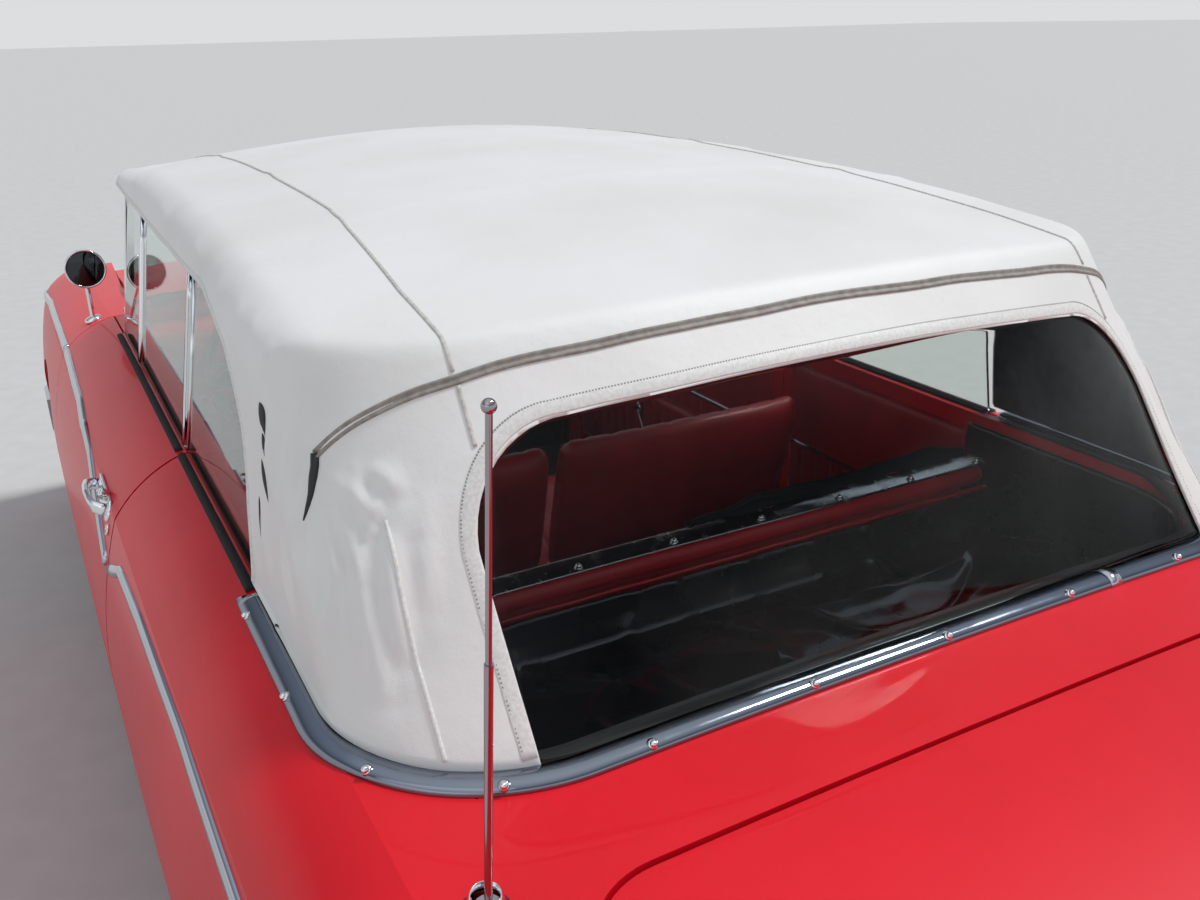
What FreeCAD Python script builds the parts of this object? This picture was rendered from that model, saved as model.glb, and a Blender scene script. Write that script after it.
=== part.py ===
import FreeCAD, Part
import math
import os
from FreeCAD import Vector

# Two-door convertible car, soft top up. Millimetres. The car faces -Y, its left side is +X, +Z is up,
# and the origin is on the ground under the middle of the whole car.

# Overall layout
car_length = 5042.0
car_width = 1928.0
wheelbase = 2934.0
front_overhang = 860.0
track_front = 1473.0
track_rear = 1422.0
front_axle_y = -car_length / 2 + front_overhang
rear_axle_y = front_axle_y + wheelbase

# Clearances
shut_gap = 5.0
seat_gap = 0.3
door_swing_gap = 8.0

# Wheels and tyres
tyre_radius = 352.0
tyre_width = 170.0
rim_radius = 190.0
rim_width = 136.0
hub_bore_radius = 16.3
spindle_radius = 16.0
kingpin_inset = 61.5
wheelhouse_clearance = 46.0

# Lines along the body
body_nose_y = -2440.0
body_tail_y = 2440.0
hood_rear_y = -1340.0
door_front_y = -1160.0
door_rear_y = 150.0
pillar_y = -955.0
molding_front_y = 757.0
molding_rear_y = 1361.0
molding_corner_radius = 245.0
trunk_front_y = 1523.0
rear_bow_y = 1137.0
header_y = -985.0

# Heights and half widths of the body
belt_z = 985.0
belt_half_width = 757.0
door_bottom_z = 335.0
door_hinge_x = 966.0
door_rear_slope = 0.215
inner_side_x = 715.0
trunk_side_x = 640.0
wheelhouse_side_x = 592.0
wheelhouse_top_z = 775.0
engine_side_x = 452.0
hood_half_width = 690.0
hood_front_half_width = 640.0
apron_top_z = 790.0
panel_wall = 22.0
glass_wall = 6.0
top_wall = 12.0

# Chassis
rail_width = 76.0
rail_height = 120.0
rail_bottom_z = 190.0
floor_z = 318.0
floor_wall = 10.0
trunk_floor_z = 500.0
floor_top_z = floor_z + floor_wall
trunk_floor_top_z = trunk_floor_z + floor_wall

PARTS = "parts"
os.makedirs(PARTS, exist_ok=True)


def box(x0, x1, y0, y1, z0, z1):
    return Part.makeBox(x1 - x0, y1 - y0, z1 - z0, Vector(x0, y0, z0))


def cylinder(x, y, z, axis, radius, length):
    return Part.makeCylinder(radius, length, Vector(x, y, z), Vector(*axis))


def mirrored(shape):
    return shape.mirror(Vector(0, 0, 0), Vector(1, 0, 0))


def both_sides(shape):
    return [shape, mirrored(shape)]


def moved(shape, x, y, z):
    copy = shape.copy()
    copy.translate(Vector(x, y, z))
    return copy


def arc(a, b, c):
    return Part.Arc(Vector(*a), Vector(*b), Vector(*c)).toShape()


def line(a, b):
    return Part.makeLine(Vector(*a), Vector(*b))


def outline(steps):
    """A closed wire from a list of points, where a step of two points is an arc through the first."""
    edges = []
    here = steps[0]
    for step in steps[1:] + [steps[0]]:
        if isinstance(step[0], tuple):
            edges.append(arc(here, step[0], step[1]))
            here = step[1]
        elif Vector(*here).distanceToPoint(Vector(*step)) > 1e-6:
            edges.append(line(here, step))
            here = step
    return Part.Wire(edges)


def placed(steps, place):
    """The same steps, with each two-number point put in space by place."""
    return [tuple(place(p) for p in s) if isinstance(s[0], tuple) else place(s) for s in steps]


def plan_prism(steps, z0, z1):
    """A solid of constant plan, from (x, y) steps."""
    return Part.Face(outline(placed(steps, lambda p: (p[0], p[1], z0)))).extrude(Vector(0, 0, z1 - z0))


def side_prism(steps, x0, x1):
    """A solid of constant side view, from (y, z) steps."""
    return Part.Face(outline(placed(steps, lambda p: (x0, p[0], p[1])))).extrude(Vector(x1 - x0, 0, 0))


def front_prism(steps, y0, y1):
    """A solid of constant front view, from (x, z) steps."""
    return Part.Face(outline(placed(steps, lambda p: (p[0], y0, p[1])))).extrude(Vector(0, y1 - y0, 0))


def turned_about_x(steps):
    """A solid of revolution about the X axis, from (x, radius) steps."""
    return Part.Face(outline(placed(steps, lambda p: (p[0], 0, p[1])))).revolve(Vector(0, 0, 0), Vector(1, 0, 0), 360)


def rounded_slot(half_width, z0, z1, radius):
    """Front view of a slot with round corners, as (x, z) steps."""
    k = radius * (1 - math.sqrt(0.5))
    w = half_width
    return [(-w + radius, z0), (w - radius, z0), ((w - k, z0 + k), (w, z0 + radius)),
            (w, z1 - radius), ((w - k, z1 - k), (w - radius, z1)), (-w + radius, z1),
            ((-w + k, z1 - k), (-w, z1 - radius)), (-w, z0 + radius), ((-w + k, z0 + k), (-w + radius, z0))]


def u_plan(half_width, front, rear, radius):
    """Plan of a straight-sided U that is closed across the front, as (x, y) steps."""
    k = radius * (1 - math.sqrt(0.5))
    w = half_width
    return [(-w, front), (w, front), (w, rear - radius), ((w - k, rear - k), (w - radius, rear)),
            (-w + radius, rear), ((-w + k, rear - k), (-w, rear - radius))]


def fused(shapes):
    result = shapes[0]
    if len(shapes) > 1:
        result = result.multiFuse(shapes[1:])
    return result.removeSplitter()


def tube_along(points, radius, bend):
    """A round bar through a few points, with rounded bends."""
    pts = [Vector(*p) for p in points]
    edges = []
    here = pts[0]
    for before, corner, after in zip(pts, pts[1:], pts[2:]):
        u = (before - corner).normalize()
        v = (after - corner).normalize()
        half = u.getAngle(v) / 2
        start = corner + u * (bend / math.tan(half))
        end = corner + v * (bend / math.tan(half))
        middle = corner + (u + v).normalize() * (bend / math.sin(half) - bend)
        edges.append(Part.makeLine(here, start))
        edges.append(Part.Arc(start, middle, end).toShape())
        here = end
    edges.append(Part.makeLine(here, pts[-1]))
    ring = Part.Wire(Part.makeCircle(radius, pts[0], (pts[1] - pts[0]).normalize()))
    return Part.Wire(edges).makePipeShell([ring], True, False)


def save(name, shapes):
    if not isinstance(shapes, list):
        shapes = [shapes]
    solids = [solid for shape in shapes for solid in shape.Solids]
    for solid in solids:
        if solid.Volume < 0:
            solid.reverse()
    result = solids[0] if len(solids) == 1 else Part.makeCompound(solids)
    result.exportStep(os.path.join(PARTS, name + ".step"))


# Body skin. Each row is one cross-section at y: half widths at the rocker, waist, shoulder and belt,
# the heights of the bottom, waist, shoulder and belt edge, and the height of the middle.
skin_columns = ("y", "bottom_z", "rocker_x", "waist_x", "waist_z", "shoulder_x", "shoulder_z", "belt_x", "edge_z",
                "crown_z")
skin_rows = [
    (body_nose_y, 330, 790, 868, 570, 842, 838, 742, 905, 911),
    (-2250, 262, 862, 930, 600, 886, 868, 757, 938, 945),
    (front_axle_y, 240, 903, 960, 630, 902, 886, 757, 966, 978),
    (door_front_y, 240, 910, 962, 635, 903, 890, 757, belt_z, 1002),
    (0, 240, 908, 956, 635, 899, 890, 757, belt_z, 1004),
    (800, 240, 902, 945, 640, 892, 888, 757, belt_z, 1004),
    (1400, 245, 884, 926, 645, 880, 884, 754, 979, 992),
    (2000, 270, 858, 902, 652, 858, 870, 735, 955, 966),
    (body_tail_y, 330, 806, 862, 660, 826, 850, 712, 930, 938),
]


def skin_section(row, inset):
    r = dict(zip(skin_columns, row))
    y = r["y"]
    bottom = r["bottom_z"] + inset
    rocker = r["rocker_x"] - inset
    waist = r["waist_x"] - inset
    shoulder = r["shoulder_x"] - inset
    shoulder_z = r["shoulder_z"] - inset / 2
    belt = r["belt_x"] - inset
    edge = r["edge_z"] - inset
    crown = r["crown_z"] - inset
    roll_x = (shoulder + belt) / 2 + 9
    roll_z = (shoulder_z + edge) / 2 + 12
    return Part.Wire([
        line((-rocker, y, bottom), (rocker, y, bottom)),
        arc((rocker, y, bottom), (waist, y, r["waist_z"]), (shoulder, y, shoulder_z)),
        arc((shoulder, y, shoulder_z), (roll_x, y, roll_z), (belt, y, edge)),
        arc((belt, y, edge), (0, y, crown), (-belt, y, edge)),
        arc((-belt, y, edge), (-roll_x, y, roll_z), (-shoulder, y, shoulder_z)),
        arc((-shoulder, y, shoulder_z), (-waist, y, r["waist_z"]), (-rocker, y, bottom)),
    ])


# The nose and tail of the body are bowed a little in plan
nose_bow = 70.0
tail_bow = 40.0
body_plan = plan_prism([
    (-1100, body_nose_y + nose_bow), ((0, body_nose_y), (1100, body_nose_y + nose_bow)),
    (1100, body_tail_y - tail_bow), ((0, body_tail_y), (-1100, body_tail_y - tail_bow)),
], 0, 1200)
skin_solid = Part.makeLoft([skin_section(row, 0.0) for row in skin_rows], True, False, False, 3).common(body_plan)
inner_solid = Part.makeLoft([skin_section(row, panel_wall) for row in skin_rows], True, False, False, 3)
deck_shell = skin_solid.common(box(-1100, 1100, -1500, 1600, 600, 1100)).cut(inner_solid)


def lid_loft(columns_rows, across, top, bottom):
    """Part of a crowned lid between two shares of its half width, top and bottom measured down from its skin."""
    wires = []
    for y, z, nose_down, half, drop in columns_rows:
        tilt = math.radians(nose_down)
        normal = Vector(0, math.copysign(math.sin(tilt), y), math.cos(tilt))

        def at(x, depth):
            sag = drop * (x / half) ** 2
            p = Vector(x, y, z) - normal * (sag + depth)
            return (p.x, p.y, p.z)

        x0, x1 = across(half)
        xm = (x0 + x1) / 2
        wires.append(Part.Wire([
            arc(at(x0, top), at(xm, top), at(x1, top)), line(at(x1, top), at(x1, bottom)),
            arc(at(x1, bottom), at(xm, bottom), at(x0, bottom)), line(at(x0, bottom), at(x0, top)),
        ]))
    return Part.makeLoft(wires, True, False, False, 3)


def whole_width(half):
    return (-half, half)


def gutter_width(half):
    return (half - 26, half + shut_gap + 6)


# Hood: y, height, angle that it noses down, half width, drop at the sides
hood_side_half = hood_half_width - shut_gap
hood_front_half = hood_front_half_width - shut_gap
hood_rows = [
    (hood_rear_y, 1004, 2, hood_side_half, 18),
    (-1800, 984, 4, hood_side_half - 21, 18),
    (-2150, 946, 9, hood_side_half - 37, 18),
    (-2325, 902, 24, hood_side_half - 45, 17),
    (-2405, 838, 54, hood_front_half + 1, 15),
    (-2434, 752, 80, hood_front_half, 12),
]
hood = lid_loft(hood_rows, whole_width, 0.0, panel_wall)
hood_gutter = lid_loft(hood_rows, gutter_width, panel_wall + seat_gap, panel_wall + 16)
hood_gutter = hood_gutter.cut(hood).cut(moved(hood, 0, 0, -seat_gap))
hood_hinge_z = hood_rows[0][1] + 1
hood_swings = []
for degrees in (3, 6, 25 / 3, 11, 14, 50 / 3, 20, 25):
    swung = hood.copy()
    swung.rotate(Vector(0, hood_rear_y, hood_hinge_z), Vector(-1, 0, 0), degrees)
    hood_swings.append(swung)
save("hood", hood)

# Trunk lid: y, height, angle that it tails down, half width, drop at the sides
lid_half = trunk_side_x - shut_gap
lid_tail_z = 560.0
lid_rows = [
    (trunk_front_y + shut_gap, 985, 2, lid_half, 10),
    (1800, 968, 6, lid_half, 12),
    (2100, 918, 14, lid_half, 15),
    (2290, 842, 32, lid_half, 16),
    (2385, 730, 62, lid_half, 16),
    (2420, lid_tail_z, 86, lid_half, 14),
]
lid_corner_radius = 105.0


def lid_corner(side, radius, reach):
    """The square corner left outside a rounded front corner of the lid, on one side of the car."""
    centre_x = lid_half - lid_corner_radius
    centre_y = trunk_front_y + shut_gap + lid_corner_radius
    block = box(centre_x, lid_half + reach, trunk_front_y + shut_gap - reach, centre_y, 800, 1200)
    block = block.cut(cylinder(centre_x, centre_y, 700, (0, 0, 1), radius, 600))
    return block if side > 0 else mirrored(block)


trunk_lid = lid_loft(lid_rows, whole_width, 0.0, panel_wall)
for side in (1, -1):
    trunk_lid = trunk_lid.cut(lid_corner(side, lid_corner_radius, 20.0))
lid_gutter = lid_loft(lid_rows, gutter_width, panel_wall + seat_gap, panel_wall + 16)
lid_gutter = lid_gutter.cut(trunk_lid).cut(moved(trunk_lid, 0, 0, -seat_gap))
save("trunk_lid", trunk_lid)

# Space that the fenders leave open under the hood
hood_clear = plan_prism([
    (-hood_half_width, hood_rear_y + 300), (-hood_half_width, hood_rear_y), (-hood_front_half_width, body_nose_y),
    (-hood_front_half_width, body_nose_y - 50), (hood_front_half_width, body_nose_y - 50),
    (hood_front_half_width, body_nose_y), (hood_half_width, hood_rear_y), (hood_half_width, hood_rear_y + 300),
], apron_top_z, 1200)

# Grille mouth across the nose
mouth_half = 800.0
mouth_bottom_z = 470.0
mouth_top_z = 664.0
mouth_corner = 90.0
mouth_rear_y = -2320.0
mouth = front_prism(rounded_slot(mouth_half, mouth_bottom_z, mouth_top_z, mouth_corner), -2600, mouth_rear_y)

# Headlamp pockets
headlamp_x = 752.0
headlamp_z = 778.0
headlamp_radius = 108.0
headlamp_rear_y = -2330.0
headlamp_pocket = cylinder(headlamp_x, -2600, headlamp_z, (0, 1, 0), headlamp_radius, 2600 + headlamp_rear_y)

# Front fenders with the apron beside the engine and the open wheel arch
wheelhouse_radius = tyre_radius + wheelhouse_clearance
nose_brace_y = -2290.0
front_house = cylinder(engine_side_x + 14, front_axle_y, tyre_radius, (1, 0, 0), wheelhouse_radius, 700)
front_house = front_house.fuse(box(engine_side_x + 14, 1200, front_axle_y - wheelhouse_radius,
                                   front_axle_y + wheelhouse_radius, 0, tyre_radius))
arm_slot = box(engine_side_x - 10, engine_side_x + 30, front_axle_y - 190, front_axle_y + 190, 0, 560)
front_fender = skin_solid.common(box(engine_side_x, 1100, body_nose_y, door_front_y - shut_gap, 200, 1100))
front_fender = front_fender.cut(hood_clear).cut(front_house).cut(arm_slot)
front_fender = front_fender.cut(box(0, inner_side_x, -1240, -1100, 0, 1200))
front_fender = front_fender.cut(mouth).cut(headlamp_pocket)
front_fender = front_fender.cut(box(0, trunk_side_x, body_nose_y - 10, nose_brace_y, 0, 1200))
front_fender = fused([front_fender, hood_gutter.common(box(0, 1100, -2280, hood_rear_y - 2, 0, 1200))])
for swung in hood_swings:
    front_fender = front_fender.cut(swung)
save("front_fenders", both_sides(front_fender))

# Nose panel between the fenders: under the hood lip, around the mouth, down to the valance
bumper_iron_x = 383.0
nose_top_z = 742.0
nose_skin = skin_solid.common(box(-trunk_side_x + seat_gap, trunk_side_x - seat_gap, body_nose_y, nose_brace_y, 340,
                                  nose_top_z))
nose_panel = nose_skin.cut(mouth)
nose_panel = nose_panel.cut(box(-600, 600, -2390, nose_brace_y + 5, mouth_top_z + 30, 900))
nose_panel = nose_panel.cut(box(-600, 600, -2390, nose_brace_y + 5, 300, mouth_bottom_z - 30))
nose_panel = nose_panel.cut(box(-600, 600, mouth_rear_y - 10, nose_brace_y + 5, 300, 900))
iron_notch = box(bumper_iron_x - 36, bumper_iron_x + 36, -2500, -2280, 300, 446)
nose_panel = nose_panel.cut(iron_notch).cut(mirrored(iron_notch))
save("nose_panel", nose_panel)

# Grille: chrome ring in the mouth with crossed bars
grille_front_y = -2395.0
ring_wall = 24.0
ring_outer = rounded_slot(mouth_half - seat_gap, mouth_bottom_z + seat_gap, mouth_top_z - seat_gap,
                          mouth_corner - seat_gap)
ring_inner = rounded_slot(mouth_half - ring_wall, mouth_bottom_z + ring_wall, mouth_top_z - ring_wall,
                          mouth_corner - ring_wall)
grille = front_prism(ring_outer, grille_front_y, mouth_rear_y - seat_gap).cut(
    front_prism(ring_inner, grille_front_y - 5, mouth_rear_y + 5))
grille_bar = 12.0
horizontal_bars = 4
vertical_bars = 20
bar_span = mouth_top_z - mouth_bottom_z - 2 * ring_wall
bar_ends = mouth_half - 70.0
bars = []
for i in range(horizontal_bars):
    z = mouth_bottom_z + ring_wall + bar_span * (i + 1) / (horizontal_bars + 1)
    bars.append(box(-mouth_half + 12, mouth_half - 12, grille_front_y + 12, grille_front_y + 36,
                    z - grille_bar / 2, z + grille_bar / 2))
for i in range(vertical_bars):
    x = -bar_ends + 2 * bar_ends * i / (vertical_bars - 1)
    bars.append(box(x - grille_bar / 4, x + grille_bar / 4, grille_front_y + 20, grille_front_y + 50,
                    mouth_bottom_z + ring_wall / 2, mouth_top_z - ring_wall / 2))
save("grille", fused([grille] + bars))

# Headlamps: chrome bezel with a domed lens
bezel_depth = 88.0
lens_radius = 86.0
dome_radius = 170.0
bezel = cylinder(headlamp_x, headlamp_rear_y - bezel_depth - seat_gap, headlamp_z, (0, 1, 0),
                 headlamp_radius - seat_gap, bezel_depth)
dome = Part.makeSphere(dome_radius, Vector(headlamp_x, headlamp_rear_y - bezel_depth + dome_radius - 22, headlamp_z))
lens = dome.common(cylinder(headlamp_x, headlamp_rear_y - 130, headlamp_z, (0, 1, 0), lens_radius, 60))
save("headlamps", both_sides(fused([bezel, lens])))

# Cowl: panel ahead of the windshield, firewall, hinge posts and the feet of the windshield pillars
cowl_half = hood_half_width - 4
firewall_y = -1205.0
tunnel_half = 120.0
pillar_foot_inner_x = 672.0
pillar_foot_outer_x = 744.0
pillar_foot_rear_y = pillar_y + 20
cowl_top = deck_shell.common(box(-cowl_half, cowl_half, hood_rear_y + shut_gap, -1000, 700, 1100))
cowl_top = cowl_top.cut(box(-pillar_foot_inner_x + 5, pillar_foot_inner_x - 5, -1150, -990, 0, 1200))
firewall = box(-cowl_half, cowl_half, firewall_y - 20, firewall_y, floor_top_z + seat_gap, belt_z - 30)
firewall = firewall.cut(box(-tunnel_half - 2, tunnel_half + 2, firewall_y - 30, firewall_y + 10, 0, 530))
cowl_ledge = box(-cowl_half, cowl_half, firewall_y - 20, door_front_y, belt_z - 80, belt_z - 8).common(skin_solid)
hinge_post = box(inner_side_x - 32, inner_side_x - seat_gap, firewall_y - 15, door_front_y + 95, floor_top_z + seat_gap,
                 belt_z - 12)
pillar_foot = box(pillar_foot_inner_x, pillar_foot_outer_x, door_front_y, pillar_foot_rear_y, 880, belt_z + 20)
pillar_foot = pillar_foot.common(skin_solid)
cowl = fused([cowl_top, firewall, cowl_ledge] + both_sides(hinge_post) + both_sides(pillar_foot))
save("cowl", cowl)


def door_rear_line(x):
    """Where the rear edge of the door is at a half width: it runs forward inside, to clear the body as it swings."""
    return door_rear_y - door_rear_slope * (door_hinge_x - x)


# Doors, as thick as the whole body side. Each swings on a vertical line at the skin's widest point.
side_limit_x = 985.0
door_plan = [
    (inner_side_x, door_front_y), (side_limit_x, door_front_y), (side_limit_x, door_rear_line(side_limit_x)),
    (inner_side_x, door_rear_line(inner_side_x)),
]
door = skin_solid.common(plan_prism(door_plan, door_bottom_z, 1100))
door = door.cut(box(600, pillar_foot_outer_x + shut_gap, door_front_y - 5, pillar_foot_rear_y + shut_gap, 874, 1100))

# Side glass leans in from the belt to the roof rail
glass_foot_x = 742.0
glass_top_x = 676.0
glass_top_z = 1352.0
glass_slope = (glass_foot_x - glass_top_x) / (glass_top_z - belt_z)
glass_bottom_z = belt_z - 60
glass_front_y = pillar_y + 38
division_y = door_rear_line(glass_foot_x) - 6
quarter_front_y = division_y + door_swing_gap + 8
slot_gap = 0.6


def leaning_slab(side_steps, thickness):
    """A flat pane of a given side view that leans in with height."""
    low_x = glass_foot_x + glass_slope * (belt_z - glass_bottom_z + 10)
    high_x = glass_foot_x - glass_slope * (1420 - belt_z)
    t = thickness / 2
    band = front_prism([(low_x - t, glass_bottom_z - 10), (low_x + t, glass_bottom_z - 10), (high_x + t, 1420),
                        (high_x - t, 1420)], -1200, 1400)
    return band.common(side_prism(side_steps, 500, 900))


def upright_bar(y, width, lean):
    foot = belt_z + 9
    return leaning_slab([(y, foot), (y + width, foot), (y + width - lean, glass_top_z), (y - lean, glass_top_z)],
                        glass_wall + 10)


def belt_slot(y0, y1):
    return leaning_slab([(y0, glass_bottom_z - slot_gap), (y1, glass_bottom_z - slot_gap), (y1, belt_z + 60),
                         (y0, belt_z + 60)], glass_wall + 2 * slot_gap)


vent_bar_y = glass_front_y + 330
door_glass = leaning_slab([
    (glass_front_y, glass_bottom_z), (division_y, glass_bottom_z), (division_y, glass_top_z),
    (glass_front_y + 60, glass_top_z), ((glass_front_y + 16, glass_top_z - 18), (glass_front_y, glass_top_z - 70)),
], glass_wall)
door_glass = fused([door_glass, upright_bar(vent_bar_y, 20, 26), upright_bar(division_y - 14, 14, 0)])
door = door.cut(belt_slot(glass_front_y - slot_gap, division_y + slot_gap))
save("door_left", door)
save("door_right", mirrored(door))
save("door_glass_left", door_glass)
save("door_glass_right", mirrored(door_glass))

# Door pull handles
handle_length = 150.0
handle_y = door_rear_y - 90
handle_z = 880.0
handle = tube_along([(0, -handle_length, -12), (0, -handle_length, 30), (0, 0, 30), (0, 0, -12)], 8, 14)
handle.rotate(Vector(0, 0, 0), Vector(0, 1, 0), 68)
handle.translate(Vector(903, handle_y, handle_z))
handle = handle.cut(skin_solid.common(box(700, 1100, handle_y - 300, handle_y + 100, 700, 1000)))
save("door_handle_left", handle)
save("door_handle_right", mirrored(handle))

# Rear body: quarters with their wheelhouses, rockers, deck ahead of the lid, and the panel below the lid,
# welded into one piece as on the real car
rear_arch_z = 640.0
rear_arch_radius = 340.0
wheelhouse_inner_x = wheelhouse_side_x + 14
wheelhouse_outer_x = 822.0
quarter_plan = [
    (inner_side_x, door_rear_line(inner_side_x) + door_swing_gap),
    (side_limit_x, door_rear_line(side_limit_x) + door_swing_gap),
    (side_limit_x, 2500), (trunk_side_x, 2500), (trunk_side_x, molding_rear_y), (inner_side_x, molding_rear_y - 100),
]
quarter = skin_solid.common(plan_prism(quarter_plan, 200, 1100))
house_front_y = rear_axle_y - wheelhouse_radius - 20
lower_wall = skin_solid.common(box(wheelhouse_side_x, 900, house_front_y, 2296, 240, wheelhouse_top_z))
well_inset = 42.0
well_prism = plan_prism(u_plan(inner_side_x, 700, molding_rear_y - well_inset, molding_corner_radius - well_inset),
                        wheelhouse_top_z, 1200)
deck = deck_shell.common(box(-trunk_side_x - 5, trunk_side_x + 5, 900, trunk_front_y, 800, 1100))
rocker_rear_y = door_rear_line(side_limit_x) + door_swing_gap + 20
rocker = skin_solid.common(box(inner_side_x, 1100, door_front_y, rocker_rear_y, 200, door_bottom_z - shut_gap))
rear_house = cylinder(wheelhouse_inner_x, rear_axle_y, tyre_radius, (1, 0, 0), wheelhouse_radius,
                      wheelhouse_outer_x - wheelhouse_inner_x)
rear_house = rear_house.fuse(box(wheelhouse_inner_x, wheelhouse_outer_x, rear_axle_y - wheelhouse_radius,
                                 rear_axle_y + wheelhouse_radius, 0, tyre_radius))
arch_centre_z = rear_arch_z - rear_arch_radius
rear_opening = cylinder(wheelhouse_inner_x, rear_axle_y, arch_centre_z, (1, 0, 0), rear_arch_radius, 500)
rear_opening = rear_opening.fuse(box(wheelhouse_inner_x, 1100, rear_axle_y - rear_arch_radius,
                                     rear_axle_y + rear_arch_radius, 0, arch_centre_z))
tail_lamp_x = 750.0
tail_lamp_z = 742.0
tail_lamp_radius = 84.0
tail_lamp_y = 2350.0
lamp_pocket = cylinder(tail_lamp_x, tail_lamp_y, tail_lamp_z, (0, 1, 0), tail_lamp_radius, 200)
axle_slot = box(wheelhouse_side_x - 10, wheelhouse_inner_x + 10, rear_axle_y - 62, rear_axle_y + 62, 0, tyre_radius + 110)
left_side = fused([quarter, lower_wall, rocker]).cut(axle_slot)
left_side = left_side.cut(rear_house).cut(rear_opening).cut(lamp_pocket)
left_side = left_side.cut(belt_slot(quarter_front_y - slot_gap, molding_front_y + 20))
left_side = fused([left_side, lid_gutter.common(box(0, 1100, trunk_front_y + 20, 2360, 0, 1200))])
deck_corner = deck_shell.common(lid_corner(1, lid_corner_radius + shut_gap, shut_gap))
left_side = fused([left_side, deck_corner])
iron_x = 458.0
tail_side = [
    (2424, lid_tail_z - shut_gap), ((2430, 470), (2396, 335)), (2372, 335), ((2404, 470), (2396, lid_tail_z - shut_gap)),
]
tail_panel = side_prism(tail_side, -trunk_side_x - 5, trunk_side_x + 5)
tail_notch = box(iron_x - 36, iron_x + 36, 2300, 2500, 300, 396)
tail_panel = tail_panel.cut(tail_notch).cut(mirrored(tail_notch))
rear_body = fused(both_sides(left_side) + [deck, tail_panel]).cut(well_prism)
save("rear_body", rear_body)

# Quarter windows, with a curved rear edge that meets the sail of the top
quarter_glass = leaning_slab([
    (quarter_front_y, glass_bottom_z), (molding_front_y - 2, glass_bottom_z), (molding_front_y - 2, 1130),
    ((724, 1262), (632, glass_top_z - 12)), (quarter_front_y, glass_top_z),
], glass_wall)
save("quarter_glass", both_sides(quarter_glass))

# Tail lamps: chrome ring and round lens
lamp_depth = 100.0
lamp_ring = cylinder(tail_lamp_x, tail_lamp_y + seat_gap, tail_lamp_z, (0, 1, 0), tail_lamp_radius - seat_gap, lamp_depth)
lamp_dome = Part.makeSphere(110, Vector(tail_lamp_x, tail_lamp_y + 5, tail_lamp_z))
lamp_lens = lamp_dome.common(cylinder(tail_lamp_x, tail_lamp_y + 20, tail_lamp_z, (0, 1, 0), 66, 120))
save("tail_lamps", both_sides(fused([lamp_ring, lamp_lens])))

# Floor: cabin pan with toe board and tunnel, kick-up under the rear seat, trunk floor
pan_half = inner_side_x - seat_gap
kick_y = 560.0
cabin_pan = box(-pan_half, pan_half, -1100, kick_y, floor_z, floor_top_z)
toe_rise = 175.0
toe_plate = side_prism([
    (firewall_y + seat_gap, floor_z + toe_rise), (firewall_y + seat_gap, floor_z + toe_rise - 20), (-1104, floor_z),
    (-1088, floor_z), (-1088, floor_top_z), (-1098, floor_top_z),
], -660, 660)
tunnel_outer = [(firewall_y + seat_gap, floor_z), (kick_y + 5, floor_z), (kick_y + 5, 400), (-700, 410),
                (firewall_y + seat_gap, 520)]
tunnel_inner = [(firewall_y - 10, 200), (kick_y + 20, 200), (kick_y + 20, 392), (-700, 402), (firewall_y - 10, 512)]
tunnel_wall = 8.0
tunnel_space = side_prism(tunnel_inner, -tunnel_half + tunnel_wall, tunnel_half - tunnel_wall)
tunnel = side_prism(tunnel_outer, -tunnel_half, tunnel_half)
kick_up = box(-pan_half, pan_half, kick_y, kick_y + floor_wall, floor_z, trunk_floor_top_z)
side_wings = box(-pan_half, pan_half, kick_y, house_front_y - seat_gap, trunk_floor_z, trunk_floor_top_z)
rear_pan = box(-wheelhouse_side_x + seat_gap, wheelhouse_side_x - seat_gap, kick_y, 2370, trunk_floor_z, trunk_floor_top_z)
floor_pan = fused([cabin_pan, toe_plate, tunnel, kick_up, side_wings, rear_pan]).cut(tunnel_space)
save("floor_pan", floor_pan)

# Ladder frame: side rails that curve in at both ends and rise over the rear axle, with crossmembers
front_rail_x = 345.0
middle_rail_x = 560.0
rear_rail_x = 420.0
front_rail_z = 330.0
axle_rail_z = 425.0
rear_rail_z = 300.0
rail_top_limit = trunk_floor_z - seat_gap
rail_plan = plan_prism([
    (front_rail_x, -2300), (front_rail_x + rail_width, -2300), (front_rail_x + rail_width, -1250),
    (middle_rail_x + rail_width, -950), (middle_rail_x + rail_width, 450), (rear_rail_x + rail_width, 640),
    (rear_rail_x + rail_width, 2330), (rear_rail_x, 2330), (rear_rail_x, 610), (middle_rail_x, 420),
    (middle_rail_x, -920), (front_rail_x, -1220),
], 100, 900)
rail_side = side_prism([
    (-2400, front_rail_z), (-1500, front_rail_z), (-1250, rail_bottom_z), (600, rail_bottom_z), (960, axle_rail_z),
    (1600, axle_rail_z), (1800, rear_rail_z), (2400, rear_rail_z), (2400, rear_rail_z + rail_height),
    (1790, rear_rail_z + rail_height), (1640, rail_top_limit), (960, rail_top_limit),
    (kick_y + 16, rail_bottom_z + rail_height), (-1260, rail_bottom_z + rail_height), (-1510, front_rail_z + rail_height),
    (-2400, front_rail_z + rail_height),
], 200, 800)
rail = rail_plan.common(rail_side)
spring_x = 535.0
spring_half = 25.0
spring_front = 620.0
spring_rear = 700.0
spring_eye_z = 312.0
front_hanger = box(rear_rail_x + 60, spring_x + spring_half + 5, rear_axle_y - spring_front - 24,
                   rear_axle_y - spring_front - seat_gap, spring_eye_z - 40, spring_eye_z + 40)
rear_hanger = box(rear_rail_x + 60, spring_x + spring_half + 5, rear_axle_y + spring_rear + seat_gap,
                  rear_axle_y + spring_rear + 24, spring_eye_z - 10, spring_eye_z + 50)
cross_columns = ("y", "z", "depth", "height", "half")
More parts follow.
